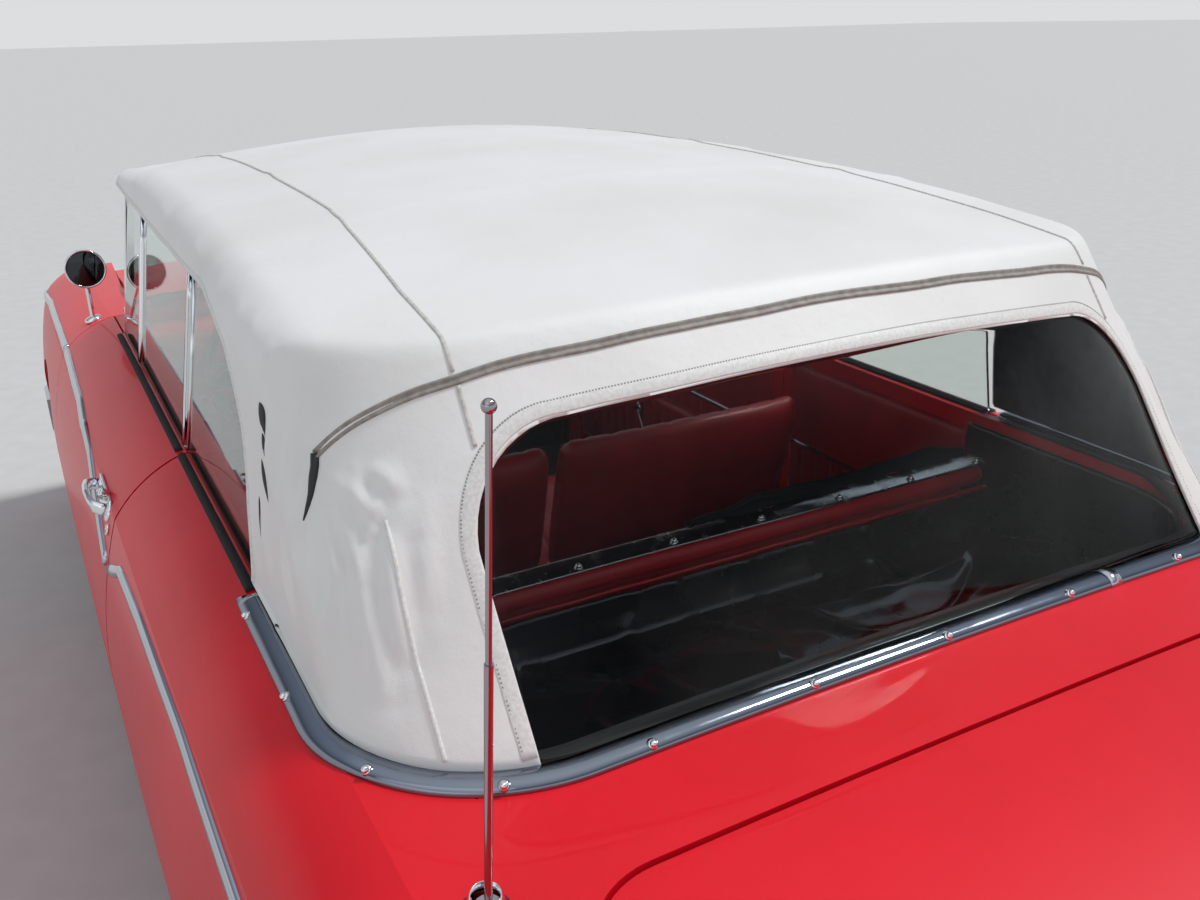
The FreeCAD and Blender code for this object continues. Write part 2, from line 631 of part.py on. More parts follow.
cross_rows = [
    (-2240, 340, 60, 60, front_rail_x + 10), (-800, 190, 80, 60, middle_rail_x + 10), (-200, 190, 80, 60, middle_rail_x + 10),
    (600, 255, 70, 55, rear_rail_x + 10), (1590, 428, 60, 60, rear_rail_x + 10), (2262, 310, 60, 60, rear_rail_x + 10),
]
crossmembers = []
for row in cross_rows:
    c = dict(zip(cross_columns, row))
    crossmembers.append(box(-c["half"], c["half"], c["y"], c["y"] + c["depth"], c["z"], c["z"] + c["height"]))
frame_rails = fused(both_sides(fused([rail, front_hanger, rear_hanger])) + crossmembers)
save("frame_rails", frame_rails)

# Steered knuckles with their stub axles and steering arms
kingpin_x = track_front / 2 - kingpin_inset
knuckle_half = 15.0
knuckle_low_z = tyre_radius - 115
knuckle_high_z = tyre_radius + 120
knuckle_post = box(kingpin_x - knuckle_half, kingpin_x + knuckle_half, front_axle_y - 24, front_axle_y + 24,
                   knuckle_low_z, knuckle_high_z)
spindle_reach = kingpin_inset + 44
spindle = cylinder(kingpin_x, front_axle_y, tyre_radius, (1, 0, 0), spindle_radius, spindle_reach)
steer_arm = box(kingpin_x - 30, kingpin_x, front_axle_y, front_axle_y + 130, tyre_radius - 62, tyre_radius - 46)
knuckle = fused([knuckle_post, spindle, steer_arm])
save("knuckle_left", knuckle)
save("knuckle_right", mirrored(knuckle))

# Front suspension: crossmember, upper and lower arms that end at the knuckles, springs
arm_end_x = kingpin_x + 12
arm_wall = 18.0
lower_arm = plan_prism([
    (330, front_axle_y - 170), (arm_end_x, front_axle_y - 22), (arm_end_x, front_axle_y + 22), (330, front_axle_y + 170),
], knuckle_low_z - seat_gap - arm_wall, knuckle_low_z - seat_gap)
upper_arm = plan_prism([
    (380, front_axle_y - 120), (arm_end_x, front_axle_y - 20), (arm_end_x, front_axle_y + 20), (380, front_axle_y + 120),
], knuckle_high_z + seat_gap, knuckle_high_z + seat_gap + arm_wall)
rail_top_z = front_rail_z + rail_height
front_cross = box(-front_rail_x - rail_width, front_rail_x + rail_width, front_axle_y - 90, front_axle_y + 90,
                  knuckle_low_z - 18, front_rail_z - seat_gap)
arm_post = box(front_rail_x, front_rail_x + rail_width, front_axle_y - 90, front_axle_y + 90, rail_top_z + seat_gap,
               knuckle_high_z + arm_wall)
spring_radius = 48.0
spring_centre_x = front_rail_x + rail_width + spring_radius + 6
spring = cylinder(spring_centre_x, front_axle_y, knuckle_low_z - 10, (0, 0, 1), spring_radius,
                  knuckle_high_z - knuckle_low_z + 20)
front_suspension = fused([front_cross] + both_sides(fused([lower_arm, upper_arm, arm_post, spring])))
save("front_suspension", front_suspension)

# Tyres and wheels, each turned about the axle
half_tyre = tyre_width / 2
tyre_inner_r = rim_radius
tyre_shoulder = 14.0
tyre_profile = [
    (-half_tyre, tyre_inner_r), (-half_tyre, tyre_radius - tyre_shoulder), (-half_tyre + tyre_shoulder, tyre_radius),
    (half_tyre - tyre_shoulder, tyre_radius), (half_tyre, tyre_radius - tyre_shoulder), (half_tyre, tyre_inner_r),
]
rim_seat_r = rim_radius - seat_gap
half_rim = rim_width / 2
drum_radius = 138.0
drum_half = 18.0
wheel_profile = [
    (-half_rim + 10, rim_seat_r - 12), (-half_rim + 10, rim_seat_r), (-half_rim + 26, rim_seat_r - 8),
    (half_rim - 24, rim_seat_r - 8), (half_rim - 12, rim_seat_r), (half_rim, rim_seat_r), (half_rim, rim_seat_r - 10),
    (half_rim - 14, rim_seat_r - 16), (half_rim - 18, 150), (half_rim - 4, 124), (half_rim - 4, 70),
    (half_rim + 6, 44), (half_rim + 9, 14), (half_rim + 9, 0), (half_rim - 12, 0), (half_rim - 12, hub_bore_radius),
    (-30, hub_bore_radius), (-30, 58), (-2 * drum_half - 4, 58), (-2 * drum_half - 4, drum_radius), (-4, drum_radius),
    (-4, 58), (half_rim - 46, 58), (half_rim - 36, 140), (half_rim - 32, rim_seat_r - 22), (-half_rim + 28, rim_seat_r - 22),
]
tyre_master = turned_about_x(tyre_profile)
wheel_master = turned_about_x(wheel_profile)
wheel_places = [
    ("front_left", track_front / 2, front_axle_y), ("front_right", -track_front / 2, front_axle_y),
    ("rear_left", track_rear / 2, rear_axle_y), ("rear_right", -track_rear / 2, rear_axle_y),
]
for place_name, x, y in wheel_places:
    for kind, master in (("tyre", tyre_master), ("wheel", wheel_master)):
        save(kind + "_" + place_name, moved(master if x > 0 else mirrored(master), x, y, tyre_radius))

# Rear axle with its differential, on leaf springs
axle_tube_radius = 38.0
tube_half = track_rear / 2 - 2 * drum_half - 12
axle_tube = cylinder(-tube_half, rear_axle_y, tyre_radius, (1, 0, 0), axle_tube_radius, 2 * tube_half)
shaft_half = track_rear / 2 + 44
axle_shaft = cylinder(-shaft_half, rear_axle_y, tyre_radius, (1, 0, 0), spindle_radius, 2 * shaft_half)
case_radius = 128.0
case_half = 62.0
case_end = 150.0
differential = fused([
    cylinder(-case_half, rear_axle_y, tyre_radius, (1, 0, 0), case_radius, 2 * case_half),
    Part.makeCone(case_radius, axle_tube_radius + 6, case_end - case_half, Vector(case_half, rear_axle_y, tyre_radius),
                  Vector(1, 0, 0)),
    Part.makeCone(case_radius, axle_tube_radius + 6, case_end - case_half, Vector(-case_half, rear_axle_y, tyre_radius),
                  Vector(-1, 0, 0)),
])
pinion_nose = cylinder(0, rear_axle_y - 250, tyre_radius, (0, 1, 0), 50, 180)

leaf_wall = 9.0
main_leaf_z = 272.0
leaf_foot_z = main_leaf_z - 4 * leaf_wall
spring_start_y = rear_axle_y - spring_front
spring_end_y = rear_axle_y + spring_rear
leaf_pack = side_prism([
    (spring_start_y, spring_eye_z - leaf_wall), (rear_axle_y - 470, main_leaf_z), (rear_axle_y - 470, main_leaf_z - leaf_wall),
    (rear_axle_y - 330, leaf_foot_z + 2 * leaf_wall), (rear_axle_y - 330, leaf_foot_z + leaf_wall),
    (rear_axle_y - 200, leaf_foot_z + leaf_wall), (rear_axle_y - 200, leaf_foot_z), (rear_axle_y + 220, leaf_foot_z),
    (rear_axle_y + 220, leaf_foot_z + leaf_wall), (rear_axle_y + 370, leaf_foot_z + leaf_wall),
    (rear_axle_y + 370, leaf_foot_z + 2 * leaf_wall), (rear_axle_y + 530, main_leaf_z - leaf_wall),
    (rear_axle_y + 530, main_leaf_z), (spring_end_y, spring_eye_z - leaf_wall), (spring_end_y, spring_eye_z),
    (rear_axle_y + 300, main_leaf_z), (rear_axle_y - 300, main_leaf_z), (spring_start_y, spring_eye_z),
], spring_x - spring_half, spring_x + spring_half)
saddle = box(spring_x - 34, spring_x + 34, rear_axle_y - 55, rear_axle_y + 55, leaf_foot_z - 8, tyre_radius)
rear_axle = fused([axle_tube, axle_shaft, differential, pinion_nose] + both_sides(fused([leaf_pack, saddle])))
save("rear_axle", rear_axle)

# Engine with its gearbox, as plain blocks
engine_block = fused([
    box(-240, 240, -2060, -1330, 452, 780), box(-105, 105, -1340, firewall_y + 40, 380, 500),
    box(-92, 92, firewall_y + 20, -700, 250 + seat_gap, 385),
])
save("engine_block", engine_block)

# Radiator behind the grille
radiator = box(-330, 330, -2225, -2195, 400 + seat_gap, 765)
save("radiator", radiator)

# Fuel tank under the trunk floor, and the exhaust
fuel_tank = box(-330, 330, 1775, 2240, 300, trunk_floor_z - seat_gap)
save("fuel_tank", fuel_tank)
pipe_x = 250.0
pipe_z = 282.0
pipe_radius = 24.0
muffler = cylinder(pipe_x, 0, 252, (0, 1, 0), 62, 460)
front_pipe = cylinder(pipe_x, -1180, pipe_z - 8, (0, 1, 0), pipe_radius, 1200)
tail_pipe = tube_along([
    (pipe_x, 450, 230), (pipe_x, 740, 230), (360, 1090, 444), (375, 1400, 444), (375, 1660, 300), (375, 1900, 268),
    (375, 2470, 268),
], 21, 60)
exhaust = fused([front_pipe, muffler, tail_pipe])
save("exhaust", exhaust)

# Soft top: closed shell from the windshield header to the belt molding. Each row is one cross-section:
# y, half width at the roof edge, height of the edge and of the middle.
top_rows = [
    (-1010, 694, 1402, 1432),
    (-500, 706, 1412, 1516),
    (100, 716, 1412, 1526),
    (650, 726, 1394, 1499),
    (1420, 742, 1286, 1368),
]
top_foot_x = belt_half_width - 1


def top_section(row, inset):
    y, edge_x, edge_z, crown_z = row
    foot_x = top_foot_x - inset
    ex = edge_x - inset
    ez = edge_z - inset * 0.7
    cz = crown_z - inset
    sx = ex - 55
    sz = ez + (cz - ez) * 0.42
    return Part.Wire([
        line((-foot_x, y, 900), (foot_x, y, 900)), line((foot_x, y, 900), (ex, y, ez - 40)),
        arc((ex, y, ez - 40), (ex - 10, y, ez), (sx, y, sz)), arc((sx, y, sz), (0, y, cz), (-sx, y, sz)),
        arc((-sx, y, sz), (-ex + 10, y, ez), (-ex, y, ez - 40)), line((-ex, y, ez - 40), (-foot_x, y, 900)),
    ])


# Rear curtain, as plans at a few heights: half width, rear edge at the middle, and how far the edge has come
# forward at the start of the rounded corners
curtain_columns = ("z", "half", "rear_y", "forward")
curtain_rows = [
    (850, 756, 1361, 0.5),
    (995, 756, 1361, 0.5),
    (1100, 753, 1331, 40),
    (1200, 748, 1290, 65),
    (1300, 738, 1232, 77),
    (1430, 725, 1122, 62),
    (1600, 725, 1060, 60),
]
corner_start_x = belt_half_width - molding_corner_radius


def curtain_wire(row, inset):
    r = dict(zip(curtain_columns, row))
    z = r["z"]
    half = r["half"] - inset
    rear = r["rear_y"] - inset
    x = corner_start_x
    side_y = rear - r["forward"]
    bow_radius = (x * x + r["forward"] ** 2) / (2 * r["forward"])
    turn = math.asin(x / bow_radius)
    radius = (half - x) / (1 - math.sin(turn))
    tangent_y = side_y - radius * math.cos(turn)
    middle = (math.pi / 2 - turn) / 2
    mx = half - radius + radius * math.cos(middle)
    my = tangent_y + radius * math.sin(middle)
    return Part.Wire([
        line((-half, -1300, z), (half, -1300, z)), line((half, -1300, z), (half, tangent_y, z)),
        arc((half, tangent_y, z), (mx, my, z), (x, side_y, z)), arc((x, side_y, z), (0, rear, z), (-x, side_y, z)),
        arc((-x, side_y, z), (-mx, my, z), (-half, tangent_y, z)), line((-half, tangent_y, z), (-half, -1300, z)),
    ])


def top_solid(inset):
    """The top filled in, cut by its curved rear curtain."""
    body = Part.makeLoft([top_section(row, inset) for row in top_rows], True, False, False, 3)
    curtain = Part.makeLoft([curtain_wire(row, inset) for row in curtain_rows], True, False, False, 3)
    return body.common(curtain)


molding_height = 14.0
top_outer = top_solid(0.0)
top_inner = top_solid(top_wall)
body_below = moved(skin_solid, 0, 0, molding_height + seat_gap)
side_opening_top = 1378.0
side_opening = side_prism([
    (-1400, 900), (molding_front_y, 900), (molding_front_y, belt_z + 14), (molding_front_y - 6, 1130),
    ((715, 1268), (610, 1340)), ((505, 1371), (380, side_opening_top)), (-1400, side_opening_top),
], -900, 900)
soft_top = top_outer.cut(top_inner).cut(body_below)
soft_top = soft_top.cut(box(-900, 900, -1300, header_y, 800, 1700)).cut(side_opening)
window_half = 568.0
window_low_z = 960.0
window_high_z = 1347.0
window_side_z = window_high_z - 150
rear_window_cut = front_prism([
    (-window_half, window_low_z), (window_half, window_low_z), (window_half, window_side_z),
    ((window_half - 36, window_high_z - 72), (window_half - 140, window_high_z - 24)),
    ((0, window_high_z), (-window_half + 140, window_high_z - 24)),
    ((-window_half + 36, window_high_z - 72), (-window_half, window_side_z)),
], 1050, 1500)
save("rear_window", soft_top.common(rear_window_cut))
save("soft_top", soft_top.cut(rear_window_cut))

# Folding frame of the top: side rails over the glass, and bows across
frame_rail_z = glass_top_z + 8
rail_front_y = pillar_y + 14
bow_half_width = 16.0
bow_height = 26.0
bow_places = [-520, 0, 520]
inside_bows = top_solid(top_wall + bow_height)
bows = []
for y in bow_places:
    band = box(-690, 690, y - bow_half_width, y + bow_half_width, frame_rail_z, 1600)
    bows.append(top_inner.common(band).cut(inside_bows))
top_rail = box(655, 692, rail_front_y, 560, frame_rail_z, frame_rail_z + 34).common(top_inner)
save("top_frame", fused(bows + both_sides(top_rail)))

# Windshield: wraparound glass in a frame with header and pillars
glass_low_path = [(738, pillar_y), (728, -1075), ((700, -1150), (610, -1195)), ((0, -1268), (-610, -1195)),
                  ((-700, -1150), (-728, -1075)), (-738, pillar_y)]
glass_high_path = [(664, header_y + 20), (658, -1016), ((644, -1044), (600, -1062)), ((0, -1098), (-600, -1062)),
                   ((-644, -1044), (-658, -1016)), (-664, header_y + 20)]
windshield_low_z = 1010.0
windshield_high_z = 1385.0


def inward(path, d):
    """A windshield path moved inward by d: sideways at its ends, rearward in its middle."""
    def move(p):
        x, y = p
        side = min(1.0, abs(x) / 640.0) ** 6
        return (x - math.copysign(d * side, x), y + d * (1 - side * 0.85))
    return placed(path, move)


def windshield_ring(path, d0, d1, z):
    """Closed wire between two offsets of a path at one height."""
    a = inward(path, d0)
    b = inward(path, d1)
    back = []
    for i in range(len(b) - 1, 0, -1):
        before = b[i - 1][1] if isinstance(b[i - 1][0], tuple) else b[i - 1]
        back.append((b[i][0], before) if isinstance(b[i][0], tuple) else before)
    return outline(placed(a + [b[-1]] + back, lambda p: (p[0], p[1], z)))


def windshield_loft(low, high, d0, d1, z0, z1):
    return Part.makeLoft([windshield_ring(low, d0, d1, z0), windshield_ring(high, d0, d1, z1)], True, True, False, 1)


windshield_glass = windshield_loft(glass_low_path, glass_high_path, 6, 12, windshield_low_z, windshield_high_z)
low_rail = windshield_loft(glass_low_path, glass_low_path, -4, 22, windshield_low_z - 50, windshield_low_z + 12)
low_rail = low_rail.cut(moved(skin_solid, 0, 0, seat_gap))
header = windshield_loft(glass_high_path, glass_high_path, -8, 44, windshield_high_z - 12, windshield_high_z + 9)


def pillar_wire(x, y, z):
    corners = [(-16, -14), (10, -14), (10, 22), (-16, 22), (-16, -14)]
    return Part.makePolygon([Vector(x + px, y + py, z) for px, py in corners])


pillar = Part.makeLoft([pillar_wire(733, pillar_y, belt_z - 20), pillar_wire(664, header_y + 16, windshield_high_z)],
                       True, True).cut(moved(skin_solid, 0, 0, seat_gap))
windshield_frame = fused([low_rail, header] + both_sides(pillar)).cut(windshield_glass)
save("windshield_glass", windshield_glass)
save("windshield_frame", windshield_frame)

# Belt molding: chrome strip that follows the body round the foot of the top
molding_inner = 14.0
molding_outer = 26.0


def molding_plan(d):
    return u_plan(belt_half_width + d, molding_front_y, molding_rear_y + d, molding_corner_radius + d)


molding_band = plan_prism(molding_plan(molding_outer), 900, 1100).cut(
    plan_prism(u_plan(belt_half_width - molding_inner, molding_front_y - 50, molding_rear_y - molding_inner,
                      molding_corner_radius - molding_inner), 890, 1110))
belt_molding = molding_band.common(moved(skin_solid, 0, 0, molding_height)).cut(moved(skin_solid, 0, 0, seat_gap))
save("belt_molding", belt_molding)


# Bumpers: bowed chrome bars that wrap round the corners, with guards and the irons that carry them
def bumper(side, z0, z1, iron_place, iron_end_y, iron_z):
    end_y = side * car_length / 2
    half = car_width / 2
    wall = 26.0

    def at(x, back):
        return (x, end_y - side * back)

    bar = plan_prism([
        at(half, 330), at(half, 165), (at(half - 23, 104), at(half - 84, 75)), (at(0, 0), at(-half + 84, 75)),
        (at(-half + 23, 104), at(-half, 165)), at(-half, 330), at(-half + wall, 330), at(-half + wall, 172),
        (at(-half + 44, 124), at(-half + 94, 100)), (at(0, wall), at(half - 94, 100)),
        (at(half - 44, 124), at(half - wall, 172)), at(half - wall, 330),
    ], z0, z1)
    pieces = [bar]
    for x in (-330, 330):
        near, far = sorted((end_y - side * 64, end_y - side * 4))
        pieces.append(box(x - 34, x + 34, near, far, z0 - 16, z1 + 66))
    for x in (-iron_place, iron_place):
        near, far = sorted((end_y - side * 30, iron_end_y))
        pieces.append(box(x - 28, x + 28, near, far, iron_z, iron_z + 56))
    return fused(pieces)


save("front_bumper", bumper(-1, 350, 470, bumper_iron_x, -2300 - seat_gap, 382))
save("rear_bumper", bumper(1, 350, 480, iron_x, 2330 + seat_gap, 332))

# Dashboard on the cowl, with the bracket that holds the steering column
wheel_centre = Vector(370, -620, 905)
column_dir = Vector(0, -0.82, -0.57).normalize()
column_radius = 22.0
dash_front_y = door_front_y + seat_gap
dash_half = pillar_foot_inner_x - seat_gap
dash_side = [(dash_front_y, 720), (-1010, 700), (-985, 730), (-960, 880), ((-970, 925), (-1010, 944)), (dash_front_y, 954)]
bracket = box(wheel_centre.x - 40, wheel_centre.x + 40, -1060, -1020, 600, 730)
column_bore = Part.makeCylinder(column_radius + seat_gap, 900, wheel_centre, column_dir)
dashboard = fused([side_prism(dash_side, -dash_half, dash_half), bracket]).cut(column_bore)
save("dashboard", dashboard)

# Steering wheel and column
wheel_ring = Part.makeTorus(208, 11, wheel_centre, column_dir)
wheel_hub = Part.makeCylinder(38, 60, wheel_centre - column_dir * 10, column_dir)
spoke = box(-205, 205, -14, 14, -5, 5)
spoke.rotate(Vector(0, 0, 0), Vector(1, 0, 0), -55.2)
spoke.translate(wheel_centre + column_dir * 6)
column = Part.makeCylinder(column_radius, 660, wheel_centre, column_dir)
save("steering_wheel", fused([wheel_ring, wheel_hub, spoke, column]))

# Seats: front bench on its runners, rear bench on the kick-up
bench_half = 680.0
runner = box(300, 340, -330, 100, floor_top_z + seat_gap, 430)
front_seat = fused([
    side_prism([(-400, 418), (120, 418), (120, 520), (-330, 570), ((-392, 556), (-415, 500))], -bench_half, bench_half),
    side_prism([(60, 500), (170, 500), (270, 880), ((240, 912), (190, 890))], -bench_half, bench_half),
] + both_sides(runner))
save("front_seat", front_seat)
rear_half = 640.0
rear_back_y = house_front_y - 5
seat_low_z = trunk_floor_top_z + seat_gap
rear_seat = fused([
    side_prism([(kick_y, seat_low_z), (rear_back_y, seat_low_z), (rear_back_y, 560), (470, 600),
                ((425, 588), (420, 540)), (440, 420), (kick_y - 1, 420), (kick_y - 1, seat_low_z)], -rear_half, rear_half),
    side_prism([(750, 540), (rear_back_y, 540), (rear_back_y, 905), ((830, 936), (780, 910)), (735, 640)],
               -rear_half, rear_half),
])
save("rear_seat", rear_seat)

# Liner of the well behind the rear seat, hung from the seat back and the deck
well_top_z = 930.0
well_low_z = wheelhouse_top_z + 4
well_front_y = rear_back_y + seat_gap
well_rear_y = molding_rear_y - well_inset - seat_gap
well_wall = 5.0
well_side = [
    (well_front_y, well_top_z), (well_front_y + well_wall, well_top_z), (well_front_y + 50, well_low_z + well_wall),
    (well_rear_y - 50, well_low_z + well_wall), (well_rear_y - well_wall, 968), (well_rear_y, 968),
    (well_rear_y - 44, well_low_z), (well_front_y + 44, well_low_z),
]
well_limit = plan_prism(u_plan(inner_side_x - seat_gap, 700, well_rear_y, molding_corner_radius - well_inset - seat_gap),
                        700, 1000)
well_liner = side_prism(well_side, -inner_side_x, inner_side_x).common(well_limit)
save("well_liner", well_liner)

# Mirror on the left fender, radio mast on the left quarter
mirror_y = door_front_y - 60
mirror_x = 800.0
mirror_stalk = tube_along([(mirror_x, mirror_y, 930), (mirror_x, mirror_y, 1075), (mirror_x, mirror_y + 70, 1125)], 7, 30)
mirror_head = cylinder(mirror_x, mirror_y + 66, 1136, (0, 1, 0), 52, 16)
near_mirror = skin_solid.common(box(700, 900, mirror_y - 100, mirror_y + 100, 800, 1100))
save("mirror", fused([mirror_stalk, mirror_head]).cut(near_mirror))
mast_x = 700.0
mast_y = trunk_front_y - 18
mast_base_z = 935.0
mast_lean = 8.5
near_mast = skin_solid.common(box(600, 850, mast_y - 100, mast_y + 100, 800, 1100))
mast = fused([
    cylinder(mast_x, mast_y, mast_base_z, (0, 0, 1), 14, 62), cylinder(mast_x, mast_y, mast_base_z, (0, 0, 1), 4, 350),
    cylinder(mast_x, mast_y, mast_base_z + 340, (0, 0, 1), 2.8, 242), Part.makeSphere(6, Vector(mast_x, mast_y, mast_base_z + 582)),
])
mast.rotate(Vector(mast_x, mast_y, mast_base_z), Vector(1, 0, 0), -mast_lean)
save("antenna", mast.cut(near_mast))
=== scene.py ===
# The looks of a two-door convertible car with its soft top up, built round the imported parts.
import math

import bmesh
import bpy
import numpy as np
from mathutils import Matrix, Vector, noise
from mathutils.bvhtree import BVHTree


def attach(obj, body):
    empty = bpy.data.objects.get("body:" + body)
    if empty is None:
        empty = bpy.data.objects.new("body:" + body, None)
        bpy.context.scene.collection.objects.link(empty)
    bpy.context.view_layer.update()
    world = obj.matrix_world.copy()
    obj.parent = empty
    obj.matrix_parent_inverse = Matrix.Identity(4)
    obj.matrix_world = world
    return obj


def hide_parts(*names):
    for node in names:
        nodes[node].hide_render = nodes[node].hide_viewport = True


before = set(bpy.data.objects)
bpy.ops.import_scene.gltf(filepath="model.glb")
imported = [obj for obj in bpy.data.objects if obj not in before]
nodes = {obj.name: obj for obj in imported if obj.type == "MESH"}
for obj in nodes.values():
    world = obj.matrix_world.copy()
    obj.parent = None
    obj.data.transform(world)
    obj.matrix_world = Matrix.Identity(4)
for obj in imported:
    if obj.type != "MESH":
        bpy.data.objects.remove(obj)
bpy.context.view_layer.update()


# Body panels: pressed steel welded into fenders, cowl, quarters and deck, with the hood, lid and doors
# hung on them. All are sprayed in one bright red enamel and polished, with a faint orange peel.
def wire(tree, *wires):
    """Links sockets, each given as (from node, output, to node, input)."""
    for source, output, target, entry in wires:
        tree.links.new(source.outputs[output], target.inputs[entry])


def finish(name, colour, roughness, metal=0.0, sockets=None):
    """A new material with these values set on its shader."""
    material = bpy.data.materials.new(name)
    material.use_nodes = True
    shader = material.node_tree.nodes["Principled BSDF"]
    shader.inputs["Base Color"].default_value = (*colour, 1)
    shader.inputs["Roughness"].default_value = roughness
    shader.inputs["Metallic"].default_value = metal
    for socket, value in (sockets or {}).items():
        shader.inputs[socket].default_value = value
    return material


def texture_on(material, kind, scale, detail=3.0):
    """A noise or cell texture on the object's own coordinates."""
    tree = material.node_tree
    place = tree.nodes.new("ShaderNodeTexCoord")
    texture = tree.nodes.new(kind)
    texture.inputs["Scale"].default_value = scale
    if "Detail" in texture.inputs:
        texture.inputs["Detail"].default_value = detail
    wire(tree, (place, "Object", texture, "Vector"))
    return texture


def mottle(material, socket, low, high, scale, start=0.35, end=0.65, detail=4.0):
    """Varies a colour or a value of the shader in soft patches between low and high."""
    tree = material.node_tree
    ramp = tree.nodes.new("ShaderNodeValToRGB")
    for stop, position, value in zip(ramp.color_ramp.elements, (start, end), (low, high)):
        stop.position = position
        stop.color = (*value, 1) if isinstance(value, tuple) else (value, value, value, 1)
    wire(tree, (texture_on(material, "ShaderNodeTexNoise", scale, detail), 0, ramp, "Fac"),
         (ramp, "Color", tree.nodes["Principled BSDF"], socket))


def grain(material, scale, depth, detail=3.0, kind="ShaderNodeTexNoise"):
    """Adds a bump of that depth in metres, on top of the bump that the material has."""
    tree = material.node_tree
    shader = tree.nodes["Principled BSDF"]
    bump = tree.nodes.new("ShaderNodeBump")
    bump.inputs["Distance"].default_value = depth
    wire(tree, (texture_on(material, kind, scale, detail), 0, bump, "Height"))
    if shader.inputs["Normal"].is_linked:
        tree.links.new(shader.inputs["Normal"].links[0].from_socket, bump.inputs["Normal"])
    wire(tree, (bump, "Normal", shader, "Normal"))


def dress(material, *names):
    """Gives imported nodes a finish."""
    for name in names:
        nodes[name].data.materials.clear()
        nodes[name].data.materials.append(material)


paint = finish("red_enamel", (0.74, 0.004, 0.014), 0.42, 0.0,
               {"Coat Weight": 0.24, "Coat Roughness": 0.03, "Specular IOR Level": 0.25})
mottle(paint, "Base Color", (0.70, 0.0035, 0.012), (0.80, 0.005, 0.018), 2.5)
grain(paint, 420.0, 0.00002, 1.0)
dress(paint, "rear_body", "front_fenders", "nose_panel", "hood", "trunk_lid", "door_left", "door_right",
      "cowl")

# Chassis: ladder frame, floor pressings and running gear in black chassis paint with a film of road dust;
# the exhaust is bare steel that has browned with heat, and the tank and engine are plain enamel.
chassis_black = finish("chassis_black", (0.020, 0.020, 0.021), 0.55)
mottle(chassis_black, "Base Color", (0.014, 0.014, 0.015), (0.060, 0.054, 0.047), 9.0, 0.45, 0.85, 6.0)
grain(chassis_black, 260.0, 0.00012)
dress(chassis_black, "frame_rails", "front_suspension", "rear_axle", "floor_pan", "knuckle_left",
      "knuckle_right", "radiator")
pipe_steel = finish("browned_steel", (0.17, 0.11, 0.08), 0.55, 0.8)
mottle(pipe_steel, "Base Color", (0.10, 0.055, 0.032), (0.30, 0.25, 0.21), 14.0, 0.35, 0.75, 6.0)
grain(pipe_steel, 300.0, 0.0002)
dress(pipe_steel, "exhaust")
tank_grey = finish("tank_enamel", (0.10, 0.10, 0.10), 0.45, 0.6)
mottle(tank_grey, "Base Color", (0.07, 0.07, 0.07), (0.16, 0.15, 0.14), 11.0, 0.4, 0.7)
dress(tank_grey, "fuel_tank")
engine_enamel = finish("engine_enamel", (0.25, 0.27, 0.28), 0.42)
mottle(engine_enamel, "Base Color", (0.16, 0.17, 0.18), (0.30, 0.32, 0.33), 16.0, 0.3, 0.6, 6.0)
grain(engine_enamel, 380.0, 0.0003)
dress(engine_enamel, "engine_block")

# Bright work: bumpers, grille, windshield frame, pulls and mirror are plated steel, with a trace of handling
# in the shine. The mast is duller, and its plating is coloured dark and reddish: a painted reflection of the red
# body.
plate = finish("bright_plate", (0.80, 0.81, 0.83), 0.05, 1.0)
mottle(plate, "Roughness", 0.035, 0.11, 13.0, 0.3, 0.8)
dress(plate, "front_bumper", "rear_bumper", "grille", "windshield_frame", "mirror")
# Dark reddish plating on the mast: a painted reflection of the red body.
mast_plate_painted_red_reflection = finish("mast_plate_painted_red_reflection", (0.40, 0.36, 0.38), 0.10, 1.0)
mottle(mast_plate_painted_red_reflection, "Roughness", 0.06, 0.16, 40.0)
dress(mast_plate_painted_red_reflection, "antenna")

# Window glass: flat laminated side panes and a curved windshield, faintly green. It shines a little unevenly,
# like glass that was wiped.
glass = finish("window_glass", (0.86, 0.94, 0.90), 0.01, 0.0, {"Transmission Weight": 1.0, "IOR": 1.45})
mottle(glass, "Roughness", 0.004, 0.022, 6.0)
dress(glass, "windshield_glass", "door_glass_left", "door_glass_right", "quarter_glass")


# Belt molding: a half-round stainless strip, screwed along the belt round the foot of the top. Snaps for the
# top boot stand on its outer face, and a sleeve covers the joint behind.
def surface(*names):
    """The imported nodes' faces, to lay trim and cloth on."""
    points, faces = [], []
    for name in names:
        mesh = nodes[name].data
        start = len(points)
        points += [v.co.copy() for v in mesh.vertices]
        faces += [[start + i for i in p.vertices] for p in mesh.polygons]
    return BVHTree.FromPolygons(points, faces)


def new_piece(name, points, faces, materials, smooth=True):
    mesh = bpy.data.meshes.new(name)
    mesh.from_pydata([tuple(p) for p in points], [], faces)
    mesh.validate()
    for material in materials:
        mesh.materials.append(material)
    mesh.polygons.foreach_set("use_smooth", [smooth] * len(mesh.polygons))
    piece = bpy.data.objects.new(name, mesh)
    bpy.context.scene.collection.objects.link(piece)
    return piece


def settle(piece):
    """Turns a piece's modifiers into its mesh."""
    bpy.context.view_layer.update()
    mesh = bpy.data.meshes.new_from_object(piece.evaluated_get(bpy.context.evaluated_depsgraph_get()))
    old = piece.data
    piece.modifiers.clear()
    piece.data = mesh
    bpy.data.meshes.remove(old)


def outwards(piece):
    """Turns the faces of a closed piece outwards."""
    work = bmesh.new()
    work.from_mesh(piece.data)
    bmesh.ops.recalc_face_normals(work, faces=work.faces)
    work.to_mesh(piece.data)
    work.free()


def fit(pieces, body="car_body", stands_for=None):
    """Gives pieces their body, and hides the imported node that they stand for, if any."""
    for piece in pieces:
        if stands_for:
            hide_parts(stands_for)
        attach(piece, body)


